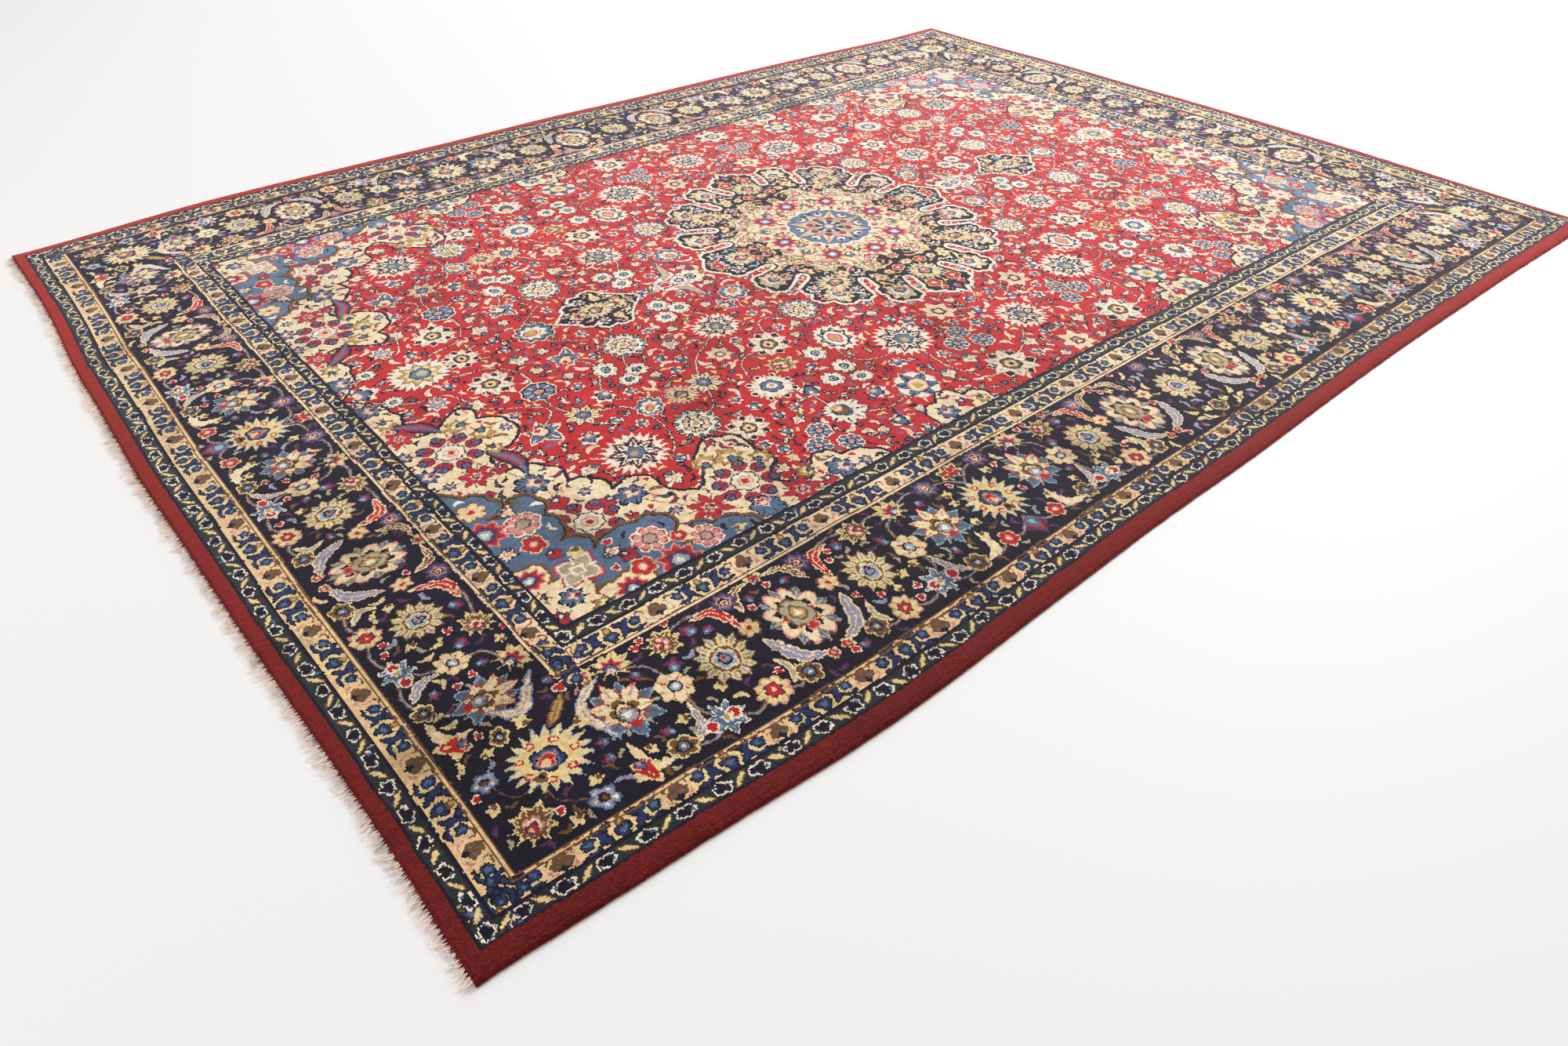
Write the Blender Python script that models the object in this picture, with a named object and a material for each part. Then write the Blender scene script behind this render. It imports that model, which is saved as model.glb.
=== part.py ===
"""A large hand-knotted Persian carpet laid flat: the piled rug, the overcast cord along
each long side, and a narrow white web with its fringe at each end.

Metres, +Z up. The underside lies on z = 0, the long way runs along X, and the origin is
the middle of the underside. -X is the end with the soft ripples, -Y the near long side.
"""
import math

import bmesh
import bpy
import numpy as np

# Driving dimensions, in metres.
RUG_LENGTH = 3.90          # over the pile, between the two white webs
RUG_WIDTH = 2.90           # over the side cords
PILE_TOP = 0.010           # knots, wefts and clipped pile together
RIM_HEIGHT = 0.006         # how high the rug's own edge stands
CROWN = 0.008              # the pile rounds off over this width
SEAT_GAP = 0.0003          # what is left between two pieces that touch

CORD_WIDTH = 0.012         # overcast side cord
CORD_HEIGHT = 0.0095
CORD_COLUMNS = ("share_of_width_out", "share_of_height_up")
CORD_ROWS = (
    (0.0, 0.0),
    (0.0, 0.88),
    (0.38, 1.0),
    (0.80, 0.86),
    (1.0, 0.52),
    (0.90, 0.16),
    (0.62, 0.0),
)

WEB_WIDTH = 0.006          # flat-woven white web beyond the last row of knots
WEB_THICKNESS = 0.0035
LOCKS_AN_END = 120
LOCK_LENGTH = 0.028        # past the web
LOCK_LENGTH_SPREAD = 0.006
LOCK_SHARE = 0.62          # how much of the pitch a lock's root takes
LOCK_DRIFT = 0.007         # how far a tip wanders along the end
LOCK_COLUMNS = ("share_of_length", "share_of_root_width", "height_m")
LOCK_ROWS = (
    (0.5, 0.80, 0.0026),
    (1.0, 0.45, 0.0013),
)

# How far the outline stands out past the straight rectangle, in mm, read along each side.
END_COLUMNS = ("y_m", "left_out_mm", "right_out_mm")
END_ROWS = (
    (-1.45, -15, -46),
    (-1.17, -18, -34),
    (-0.90, -11, -14),
    (-0.63, -2, 1),
    (-0.27, 4, 10),
    (0.00, 11, 9),
    (0.27, 6, 3),
    (0.63, 4, 6),
    (0.85, -9, -2),
    (1.08, -14, -19),
    (1.45, -11, -18),
)
SIDE_COLUMNS = ("x_m", "near_out_mm", "far_out_mm")
SIDE_ROWS = (
    (-1.95, -20, -52),
    (-1.74, -7, -32),
    (-1.54, 1, -3),
    (-1.36, 17, 13),
    (-1.18, 21, 15),
    (-0.82, 7, 12),
    (-0.46, -4, 10),
    (-0.10, -4, 19),
    (0.25, -14, 5),
    (0.62, -19, 6),
    (0.98, -17, 2),
    (1.34, -15, -10),
    (1.70, -7, -30),
    (1.95, -4, -16),
)

# Soft ripples that run in from the -X end: where each crest is, how high, how wide.
RIPPLE_COLUMNS = ("y_m", "height_m", "half_width_m")
RIPPLE_ROWS = (
    (1.19, 0.0055, 0.15),
    (0.83, 0.0065, 0.17),
    (0.47, 0.0040, 0.15),
    (-0.18, 0.0025, 0.20),
)
RIPPLE_STARTS = 0.03       # distances in from the end
RIPPLE_FULL = 0.14
RIPPLE_FADES = 0.24
RIPPLE_ENDS = 0.62
FINE_STEP = 0.052          # between the mesh's rows where the rug ripples
STEP = 0.10                # and where it lies flat
FLAT_ANGLE = 0.00005       # radians; faces that meet closer than this are one flat face

COLOURS = {
    "pile": (0.42, 0.03, 0.04),
    "selvedge": (0.30, 0.02, 0.03),
    "fringe": (0.82, 0.74, 0.66),
}


def column(rows, columns, name):
    """One named column of a table, as an array."""
    return np.array([row[columns.index(name)] for row in rows], float)


def eased(at, rows, columns, name, reach=0.09):
    """A table's column at a place, with its corners rounded off over reach."""
    places = at + np.linspace(-reach, reach, 9)
    values = np.interp(places, column(rows, columns, columns[0]), column(rows, columns, name))
    return float(values.mean()) / 1000.0


def smooth_step(low, high, value):
    share = min(max((value - low) / (high - low), 0.0), 1.0)
    return share * share * (3.0 - 2.0 * share)


def end_x(side, y):
    """x of the pile's last row at y; side is -1 for the left end and 1 for the right."""
    name = "left_out_mm" if side < 0 else "right_out_mm"
    return side * (RUG_LENGTH / 2 + eased(y, END_ROWS, END_COLUMNS, name))


def side_y(side, x):
    """y of the outer face of the side cord at x; side is -1 for near and 1 for far."""
    name = "near_out_mm" if side < 0 else "far_out_mm"
    return side * (RUG_WIDTH / 2 + eased(x, SIDE_ROWS, SIDE_COLUMNS, name))


def lift(x, y):
    """How high the ripples carry the rug off the floor at a point."""
    inward = x - end_x(-1, y)
    along = smooth_step(RIPPLE_STARTS, RIPPLE_FULL, inward)
    along *= 1.0 - smooth_step(RIPPLE_FADES, RIPPLE_ENDS, inward)
    height = 0.0
    for crest, top, half in RIPPLE_ROWS:
        off = abs(y - crest)
        if off < half:
            height += top * 0.5 * (1.0 + math.cos(math.pi * off / half))
    return height * along


def stations(half, fine_from, fine_to):
    """Places from -half to half: the crown's own rows, a fine stretch and coarse ones."""
    crown = [0.0, CROWN * 0.12, CROWN * 0.45, CROWN]
    places = [-half + inward for inward in crown] + [half - inward for inward in crown]
    for low, high, gap in (
        (-half + CROWN, fine_from, STEP),
        (fine_from, fine_to, FINE_STEP),
        (fine_to, half - CROWN, STEP),
    ):
        if high - low > CROWN:
            count = max(1, round((high - low) / gap))
            places += [low + (high - low) * i / count for i in range(count + 1)]
    return sorted({round(place, 5) for place in places})


HALF_X = RUG_LENGTH / 2
HALF_Y = RUG_WIDTH / 2 - CORD_WIDTH - SEAT_GAP
X_PLACES = stations(HALF_X, -HALF_X + RIPPLE_STARTS, -HALF_X + RIPPLE_ENDS)
Y_PLACES = stations(
    HALF_Y,
    min(crest - half for crest, _, half in RIPPLE_ROWS),
    max(crest + half for crest, _, half in RIPPLE_ROWS),
)


def cloth_point(across_x, across_y):
    """A grid place on the straight rectangle, moved onto the uneven outline."""
    left = end_x(-1, across_y) + HALF_X
    right = end_x(1, across_y) - HALF_X
    near = side_y(-1, across_x) + RUG_WIDTH / 2
    far = side_y(1, across_x) - RUG_WIDTH / 2
    share_x = (across_x + HALF_X) / (2 * HALF_X)
    share_y = (across_y + HALF_Y) / (2 * HALF_Y)
    x = across_x + left * (1 - share_x) ** 3 + right * share_x ** 3
    y = across_y + near * (1 - share_y) ** 3 + far * share_y ** 3
    return x, y


def end_line(side, y):
    """x of the rug's own end wall at y, on the straight runs between its rows."""
    wall = np.array([cloth_point(side * HALF_X, place) for place in Y_PLACES])
    return float(np.interp(y, wall[:, 1], wall[:, 0]))


def finish(name, mesh, slot):
    """Make the object, faces outwards, with a plain material of its own."""
    bmesh.ops.recalc_face_normals(mesh, faces=mesh.faces)
    if mesh.calc_volume(signed=True) < 0:
        bmesh.ops.reverse_faces(mesh, faces=mesh.faces)
    data = bpy.data.meshes.new(name)
    mesh.to_mesh(data)
    mesh.free()
    material = bpy.data.materials.new(name + "_wool" if slot != "fringe" else name + "_cotton")
    material.use_nodes = True
    shader = material.node_tree.nodes["Principled BSDF"]
    shader.inputs["Base Color"].default_value = (*COLOURS[slot], 1.0)
    shader.inputs["Roughness"].default_value = 0.9
    shader.inputs["Metallic"].default_value = 0.0
    data.materials.append(material)
    piece = bpy.data.objects.new(name, data)
    bpy.context.scene.collection.objects.link(piece)
    return piece


def rug():
    """The piled cloth: one sheet, crowned at its edge, lifted where it ripples."""
    rows = len(X_PLACES) - 1
    columns = len(Y_PLACES) - 1
    mesh = bmesh.new()
    bmesh.ops.create_grid(mesh, x_segments=rows, y_segments=columns, size=1.0)
    for vertex in mesh.verts:
        across_x = X_PLACES[round((vertex.co.x + 1) / 2 * rows)]
        across_y = Y_PLACES[round((vertex.co.y + 1) / 2 * columns)]
        inward = min(HALF_X - abs(across_x), HALF_Y - abs(across_y), CROWN) / CROWN
        crown = math.sqrt(max(0.0, 1.0 - (1.0 - inward) ** 2))
        x, y = cloth_point(across_x, across_y)
        top = RIM_HEIGHT + (PILE_TOP - RIM_HEIGHT) * crown
        vertex.co = (x, y, top + lift(x, y))
    under = bmesh.ops.extrude_face_region(mesh, geom=list(mesh.faces), use_keep_orig=True)
    for part in under["geom"]:
        if isinstance(part, bmesh.types.BMVert):
            part.co.z = lift(part.co.x, part.co.y)
    bmesh.ops.dissolve_limit(
        mesh,
        angle_limit=FLAT_ANGLE,
        verts=mesh.verts,
        edges=mesh.edges,
        delimit={"NORMAL"},
    )
    return finish("rug", mesh, "pile")


def selvedge(name, side):
    """The cord of the long side: a D of overcast wool, flat towards the rug."""
    wall = [cloth_point(place, side * HALF_Y) for place in X_PLACES]
    mesh = bmesh.new()
    mesh.faces.new([mesh.verts.new((0.0, out, up)) for out, up in CORD_ROWS])
    section = mesh.faces[:][0]
    for _ in wall[1:]:
        section = bmesh.ops.extrude_discrete_faces(mesh, faces=[section])["faces"][0]
        bmesh.ops.translate(mesh, verts=section.verts[:], vec=(1.0, 0.0, 0.0))
    open_end = [edge for edge in mesh.edges if edge.is_boundary]
    bmesh.ops.holes_fill(mesh, edges=open_end, sides=len(CORD_ROWS))
    for vertex in mesh.verts:
        step, out, up = vertex.co
        x, y = wall[round(step)]
        vertex.co = (x, y + side * (SEAT_GAP + CORD_WIDTH * out), up * CORD_HEIGHT)
    return finish(name, mesh, "selvedge")


def draw_lock(mesh, root, pitch, length, drift):
    """Draw one lock out of its cell: two tapering lengths that lie on the floor."""
    face = root
    reached = 0.0
    for share, width, height in LOCK_ROWS:
        face = bmesh.ops.extrude_discrete_faces(mesh, faces=[face])["faces"][0]
        middle = face.calc_center_median()
        slim = pitch * LOCK_SHARE * width / 2
        for vertex in face.verts:
            along = 1.0 if vertex.co.y > middle.y else -1.0
            high = vertex.co.z > middle.z
            vertex.co.x += length * (share - reached)
            vertex.co.y = middle.y + drift * (share - reached) + along * slim
            vertex.co.z = height if high else 0.0
        reached = share


def fringe(name, side, seed):
    """The web strip, with its locks drawn out of its outer face and lying on the floor.

    It is built straight, with x as the distance past the pile, and then follows the end.
    """
    chance = np.random.default_rng(seed)
    low = side_y(-1, side * HALF_X)
    high = side_y(1, side * HALF_X)
    pitch = (high - low) / LOCKS_AN_END
    mesh = bmesh.new()
    bmesh.ops.create_grid(mesh, x_segments=1, y_segments=2 * LOCKS_AN_END, size=1.0)
    for vertex in mesh.verts:
        row = round((vertex.co.y + 1) * LOCKS_AN_END)
        y = low + pitch * (row // 2 + (LOCK_SHARE if row % 2 else 0.0))
        vertex.co = (WEB_WIDTH if vertex.co.x > 0 else 0.0, y, WEB_THICKNESS)
    under = bmesh.ops.extrude_face_region(mesh, geom=list(mesh.faces), use_keep_orig=True)
    for part in under["geom"]:
        if isinstance(part, bmesh.types.BMVert):
            part.co.z = 0.0
    roots = []
    for face in mesh.faces:
        middle = face.calc_center_median()
        upright = WEB_THICKNESS * 0.25 < middle.z < WEB_THICKNESS * 0.75
        in_lock = (middle.y - low) / pitch % 1.0 < LOCK_SHARE
        if upright and in_lock and middle.x > WEB_WIDTH * 0.99:
            roots.append((middle.y, face))
    for _, root in sorted(roots, key=lambda pair: pair[0]):
        length = LOCK_LENGTH + LOCK_LENGTH_SPREAD * chance.uniform(-1.0, 1.0)
        drift = LOCK_DRIFT * chance.uniform(-1.0, 1.0)
        draw_lock(mesh, root, pitch, length, drift)
    for vertex in mesh.verts:
        vertex.co.x = end_line(side, vertex.co.y) + side * (SEAT_GAP + vertex.co.x)
    return finish(name, mesh, "fringe")


for old in list(bpy.data.objects):
    bpy.data.objects.remove(old, do_unlink=True)

rug()
selvedge("selvedge_near", -1)
selvedge("selvedge_far", 1)
fringe("fringe_left", -1, 11)
fringe("fringe_right", 1, 23)
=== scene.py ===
import math

import bmesh
import bpy
import numpy as np
from mathutils import Matrix, Vector
from mathutils.bvhtree import BVHTree


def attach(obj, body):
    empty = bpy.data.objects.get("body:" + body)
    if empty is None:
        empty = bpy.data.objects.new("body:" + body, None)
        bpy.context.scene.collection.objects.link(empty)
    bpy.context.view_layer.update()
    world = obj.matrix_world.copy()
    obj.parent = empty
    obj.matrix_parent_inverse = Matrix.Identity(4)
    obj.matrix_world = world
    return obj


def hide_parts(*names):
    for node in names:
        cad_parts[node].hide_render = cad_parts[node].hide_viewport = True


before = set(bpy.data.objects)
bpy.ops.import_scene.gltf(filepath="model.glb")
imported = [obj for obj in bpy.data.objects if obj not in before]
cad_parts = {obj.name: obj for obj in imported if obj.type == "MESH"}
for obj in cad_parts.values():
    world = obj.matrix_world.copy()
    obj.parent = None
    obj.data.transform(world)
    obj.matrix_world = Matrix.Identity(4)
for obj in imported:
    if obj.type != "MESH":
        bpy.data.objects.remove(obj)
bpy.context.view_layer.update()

# ---------------------------------------------------------------------------------------
# The chart of the pile: one quarter of the rug in hand-tied knots, counted outwards from
# its middle. The other three quarters mirror it, as the real rug does. Millimetres.
KNOT = 2.6                     # about a knot's width, where one can be told apart
HALF_LENGTH, HALF_WIDTH = 1950.0, 1440.0     # its last row is taken in by the side cords
chart = np.zeros((round(HALF_LENGTH / KNOT), round(HALF_WIDTH / KNOT)), np.uint8)
knot_x = (np.arange(chart.shape[0]) + 0.5) * KNOT
knot_y = (np.arange(chart.shape[1]) + 0.5) * KNOT
chance = np.random.default_rng(7)


def wander(reach, size):
    """How far the knots stray from their places, in mm: softly, over about a size."""
    waves = np.hypot(np.fft.fftfreq(chart.shape[0], KNOT)[:, None],
                     np.fft.rfftfreq(chart.shape[1], KNOT)[None, :])
    soft = np.fft.rfft2(chance.normal(size=chart.shape)) * np.exp(-(waves * size * 2) ** 2)
    strayed = np.fft.irfft2(soft, chart.shape)
    return strayed * reach / strayed.std()


stray_x, stray_y = (wander(0.9, 3.5) + wander(2.2, 60.0) for _ in range(2))

# The dyed wools as they look in even light. The chart holds the number of each knot's dye.
DYES = {
    "madder": "#B41F22",
    "wine": "#571413",
    "navy": "#17131F",
    "slate": "#4C607B",
    "indigo": "#232E54",
    "cream": "#F0CDA1",
    "apricot": "#E6BE8A",
    "straw": "#E0C485",
    "ivory": "#F0DCC2",
    "gold": "#B8914F",
    "brown": "#694528",
    "green": "#23282B",
    "lilac": "#8D8CA0",
    "sage": "#A39B7C",
    "plum": "#4F2748",
    "rose": "#CC8578",
    "sky": "#8BA3AE",
}
DYE_NUMBER = {name: number for number, name in enumerate(DYES)}

# ---------------------------------------------------------------------------------------
# The red field: madder wool knotted round palmettes, stars and little clusters of wheels,
# which stand on thin ivory vines edged with navy. The ground between them is filled with
# buds, curled leaves and specks of a few knots each.


def window(x, y, reach, turn=0.0):
    """The knots near a place, and how far each lies along the turn and across it."""
    rows = slice(*[max(int((x + way * reach) / KNOT) + 1, 0) for way in (-1, 1)])
    columns = slice(*[max(int((y + way * reach) / KNOT) + 1, 0) for way in (-1, 1)])
    off_x = knot_x[rows, None] + stray_x[rows, columns] - x
    off_y = knot_y[None, columns] + stray_y[rows, columns] - y
    cos, sin = math.cos(math.radians(turn)), math.sin(math.radians(turn))
    return chart[rows, columns], off_x * cos + off_y * sin, off_y * cos - off_x * sin


def smooth_line(points, gap=2.0):
    """A Catmull-Rom curve through the points, as places about gap apart."""
    points = np.array(points, float)
    ends = np.vstack([2 * points[0] - points[1], points, 2 * points[-1] - points[-2]])
    line = []
    for before, here, there, after in zip(ends, ends[1:], ends[2:], ends[3:]):
        count = max(2, round(np.linalg.norm(there - here) / gap))
        t = np.linspace(0.0, 1.0, count, endpoint=False)[:, None]
        line.append(
            here
            + 0.5 * t * (there - before)
            + t ** 2 * (before - 2.5 * here + 2 * there - 0.5 * after)
            + t ** 3 * (1.5 * (here - there) + 0.5 * (after - before))
        )
    return np.vstack([*line, points[-1:]])


def stroke(line, half_width, *dyes, edge=3.0):
    """Colour the knots along a line; each further dye is a core, edge narrower."""
    halves = np.broadcast_to(half_width, len(line))
    middle, reach = (line.max(0) + line.min(0)) / 2, np.ptp(line, axis=0).max() / 2
    part, x, y = window(*middle, reach + halves.max() + KNOT)
    outside = np.full(part.shape, np.inf)
    for (px, py), half in zip(line - middle, halves):
        np.minimum(outside, np.hypot(x - px, y - py) - half, out=outside)
    for depth, dye in enumerate(dyes):
        part[outside < -edge * depth] = DYE_NUMBER[dye]


def vine(points, dye="cream", edge=None, half_width=1.6):
    """A thin stem, with a darker edge if it has one."""
    line = smooth_line(points)
    if edge:
        stroke(line, half_width + 2.0, edge)
    stroke(line, half_width, dye)


LEAF_LEAN, LEAF_BLUNTNESS = 0.85, 0.8       # fullest just before its middle, with soft ends
TOOTH_ROOT, TOOTH_LENGTH = 0.66, 0.56       # as shares of the leaf's width


def leaf(points, half_width, *dyes, teeth=0, edge=3.0):
    """A pointed leaf along a curve, its rim cut into teeth if it has any, and then with a
    spine of its first dye."""
    line = smooth_line(points)
    share = np.linspace(0.0, 1.0, len(line))
    halves = half_width * np.sin(math.pi * share ** LEAF_LEAN) ** LEAF_BLUNTNESS
    if teeth:
        halves *= TOOTH_ROOT + TOOTH_LENGTH * (share * teeth % 1.0)
    stroke(line, halves + 1.0, *dyes, edge=edge)
    if teeth and len(dyes) > 1:
        stroke(line[len(line) // 8:-len(line) // 5], 1.3, dyes[0])


# How the rim of a flower's layer runs. Columns: whether a petal (0) or a cleft (0.5) points
# along the turn, how blunt the petals are, and how much shorter they get to the stalk.
RIMS = {
    "petals": (0.0, 2.0, 0.0),
    "between": (0.5, 2.0, 0.0),
    "points": (0.0, 0.8, 0.0),
    "thorns": (0.5, 0.8, 0.0),
    "crown": (0.0, 2.0, 0.16),
    "flames": (0.0, 0.8, 0.18),
}

OUTLINE = 3.5                   # mm, one knot or two
SPOKE = 0.035                   # half width of a spoke or ray, as a share of the flower's size
FURTHEST = 1.75                 # no layer reaches this many times the flower's size
# A flower is its layers from the back to the front; a layer with two dyes has an outline
# of the first. Columns: form, dyes, reach, count, depth, rise, stretch. Reach, rise and a
# dot's depth are in hundredths of the flower's size. Other depths are how deep the clefts
# are, or how long the spokes and rays, as a share of the reach; stretch is length over width.
FLOWERS = {
    "flame": (
        ("points", "sky straw", 110, 19, 0.34, 0, 1.06),
        ("points", "straw", 92, 19, 0.30, 0, 1.06),
        ("rays", "apricot", 88, 19, 0.36, 0, 1.06),
        ("dots", "madder", 66, 7, 12, -4, 1.0),
        ("dots", "straw", 66, 7, 7, -4, 1.0),
        ("crown", "navy indigo", 54, 5, 0.20, -10, 1.0),
        ("crown", "slate navy", 40, 3, 0.22, -10, 1.0),
        ("crown", "rose madder", 31, 3, 0.30, -10, 1.1),
        ("petals", "apricot", 13, 3, 0.30, -16, 1.2),
        ("petals", "apricot brown", 25, 3, 0.34, -64, 1.0),
        ("petals", "navy", 8, 0, 0, -60, 1.0),
    ),
    "gold flame": (
        ("points", "plum ivory", 108, 24, 0.22, 0, 1.12),
        ("points", "brown gold", 80, 9, 0.42, 0, 1.10),
        ("points", "cream", 56, 9, 0.40, 0, 1.10),
        ("petals", "navy slate", 40, 6, 0.22, 0, 1.0),
        ("petals", "sage", 18, 4, 0.15, 4, 1.0),
    ),
    "brown palmette": (
        ("flames", "straw", 110, 9, 0.34, 0, 1.05),
        ("crown", "brown", 84, 9, 0.36, 0, 1.05),
        ("rays", "straw", 88, 9, 0.42, 0, 1.05),
        ("crown", "rose cream", 52, 5, 0.34, -6, 1.0),
        ("petals", "plum madder", 30, 3, 0.34, -12, 1.0),
        ("petals", "apricot", 10, 0, 0, -20, 1.0),
    ),
    "star": (
        ("points", "ivory", 110, 24, 0.28, 0, 1.05),
        ("points", "rose", 90, 8, 0.40, 0, 1.05),
        ("points", "navy", 86, 8, 0.48, 0, 1.05),
        ("points", "ivory", 72, 8, 0.54, 0, 1.05),
        ("rays", "plum", 60, 8, 0.40, 0, 1.05),
        ("spokes", "navy", 66, 8, 0.40, 0, 1.05),
        ("petals", "navy slate", 36, 6, 0.24, 0, 1.0),
        ("petals", "gold", 13, 0, 0, 6, 1.2),
    ),
    "blue star": (
        ("between", "rose ivory", 100, 6, 0.24, 0, 1.0),
        ("points", "ivory", 110, 6, 0.50, 0, 1.0),
        ("points", "navy slate", 103, 6, 0.52, 0, 1.0),
        ("rays", "navy", 88, 6, 0.40, 0, 1.0),
        ("petals", "navy", 50, 6, 0.1, 0, 1.0),
        ("petals", "rose cream", 43, 0, 0, 0, 1.1),
        ("petals", "gold", 22, 4, 0.3, 0, 1.1),
    ),
    "beads": (
        ("points", "plum apricot", 106, 16, 0.24, 0, 1.0),
        ("points", "ivory", 88, 8, 0.2, 0, 1.0),
        ("dots", "ivory", 90, 8, 17, 0, 1.0),
        ("dots", "navy", 90, 8, 11, 0, 1.0),
        ("spokes", "rose", 84, 8, 0.30, 0, 1.0),
        ("petals", "navy slate", 50, 6, 0.22, 0, 1.0),
        ("petals", "ivory", 22, 0, 0, 0, 1.0),
        ("petals", "gold", 11, 0, 0, 0, 1.0),
    ),
    "many petals": (
        ("petals", "navy ivory", 108, 11, 0.22, 0, 1.0),
        ("dots", "navy", 86, 11, 13, 0, 1.0),
        ("dots", "slate", 86, 11, 8, 0, 1.0),
        ("petals", "plum cream", 66, 8, 0.22, 0, 1.0),
        ("rays", "navy", 60, 8, 0.4, 0, 1.0),
        ("petals", "navy ivory", 36, 5, 0.2, 0, 1.1),
        ("petals", "gold", 15, 0, 0, 0, 1.2),
    ),
    "lotus": (
        ("crown", "plum ivory", 108, 9, 0.26, 0, 1.05),
        ("rays", "navy", 92, 9, 0.34, 0, 1.05),
        ("crown", "ivory slate", 60, 3, 0.16, -6, 1.1),
        ("crown", "navy brown", 44, 3, 0.10, -8, 1.1),
        ("petals", "rose cream", 26, 5, 0.26, -22, 1.1),
        ("petals", "gold", 12, 0, 0, -30, 1.0),
    ),
    "pear": (
        ("points", "ivory", 104, 18, 0.20, 0, 1.25),
        ("points", "navy slate", 84, 9, 0.30, 0, 1.25),
        ("points", "ivory", 68, 9, 0.34, 0, 1.25),
        ("petals", "navy ivory", 56, 0, 0, -4, 1.4),
        ("petals", "madder rose", 34, 4, 0.25, -4, 1.5),
        ("petals", "gold", 14, 0, 0, -8, 1.5),
    ),
    "blue wheel": (
        ("petals", "ivory navy", 110, 8, 0.14, 0, 1.0),
        ("petals", "slate", 88, 8, 0.2, 0, 1.0),
        ("spokes", "ivory", 84, 8, 0.5, 0, 1.0),
        ("petals", "navy", 42, 0, 0, 0, 1.0),
        ("petals", "rose", 28, 0, 0, 0, 1.0),
    ),
    "cream wheel": (
        ("petals", "navy ivory", 112, 7, 0.26, 0, 1.0),
        ("rays", "plum", 90, 7, 0.22, 0, 1.0),
        ("petals", "navy", 44, 5, 0.16, 0, 1.0),
        ("petals", "sky", 28, 0, 0, 0, 1.0),
        ("petals", "navy", 13, 0, 0, 0, 1.0),
    ),
    "peach star": (
        ("points", "ivory apricot", 106, 7, 0.40, 0, 1.0),
        ("rays", "ivory", 84, 7, 0.40, 0, 1.0),
        ("petals", "plum", 42, 5, 0.2, 0, 1.0),
        ("petals", "cream", 22, 0, 0, 0, 1.0),
    ),
    "eight points": (
        ("points", "navy cream", 112, 8, 0.34, 0, 1.0),
        ("rays", "brown", 92, 8, 0.46, 0, 1.0),
        ("spokes", "navy", 70, 8, 0.40, 0, 1.0),
        ("petals", "navy slate", 46, 6, 0.2, 0, 1.0),
        ("petals", "rose", 13, 0, 0, 0, 1.0),
    ),
    "iris": (
        ("flames", "ivory", 108, 5, 0.46, 0, 1.05),
        ("flames", "navy slate", 98, 5, 0.50, 0, 1.05),
        ("rays", "ivory", 80, 5, 0.34, 0, 1.05),
        ("crown", "navy", 52, 3, 0.30, -10, 1.0),
        ("crown", "rose cream", 44, 3, 0.30, -12, 1.0),
        ("petals", "madder", 13, 3, 0.2, -18, 1.2),
    ),
    "grey palmette": (
        ("flames", "ivory", 106, 9, 0.34, 0, 1.1),
        ("crown", "navy lilac", 74, 7, 0.30, 0, 1.1),
        ("rays", "ivory", 60, 7, 0.4, 0, 1.1),
        ("crown", "rose cream", 38, 3, 0.25, -20, 0.9),
        ("petals", "slate", 14, 3, 0.3, -30, 0.9),
    ),
    "dark leaves": (
        ("thorns", "ivory navy", 106, 6, 0.36, 0, 1.0),
        ("points", "rose ivory", 106, 6, 0.46, 0, 1.0),
        ("rays", "sage", 84, 6, 0.40, 0, 1.0),
        ("petals", "navy brown", 44, 5, 0.16, 0, 1.0),
        ("petals", "apricot", 26, 4, 0.2, 0, 1.0),
        ("petals", "navy", 9, 0, 0, 0, 1.0),
    ),
    "blue palmette": (
        ("crown", "ivory navy", 110, 9, 0.2, 0, 1.05),
        ("crown", "slate", 92, 9, 0.24, 0, 1.05),
        ("flames", "ivory", 76, 9, 0.3, 0, 1.1),
        ("flames", "rose cream", 48, 6, 0.3, 0, 1.2),
        ("petals", "madder gold", 26, 0, 0, -2, 1.3),
    ),
    "cream bud": (
        ("flames", "navy ivory", 112, 5, 0.36, 10, 1.1),
        ("rays", "brown", 88, 5, 0.34, 10, 1.1),
        ("crown", "rose apricot", 50, 3, 0.3, 6, 1.1),
        ("crown", "navy slate", 50, 3, 0.35, -42, 0.8),
    ),
    "blue bud": (
        ("flames", "ivory", 108, 5, 0.36, 0, 1.2),
        ("flames", "navy", 92, 3, 0.34, 2, 1.2),
        ("crown", "slate", 60, 3, 0.3, 0, 1.2),
        ("petals", "cream", 20, 0, 0, -10, 1.2),
    ),
    "small palmette": (
        ("flames", "ivory", 108, 7, 0.34, 0, 1.0),
        ("crown", "navy", 74, 5, 0.3, -4, 1.0),
        ("crown", "slate", 56, 5, 0.2, -6, 1.0),
        ("petals", "rose cream", 28, 0, 0, -16, 1.0),
    ),
    "trefoil": (
        ("petals", "navy", 100, 3, 0.34, 0, 1.1),
        ("petals", "slate", 46, 0, 0, 0, 1.0),
    ),
}


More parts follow.
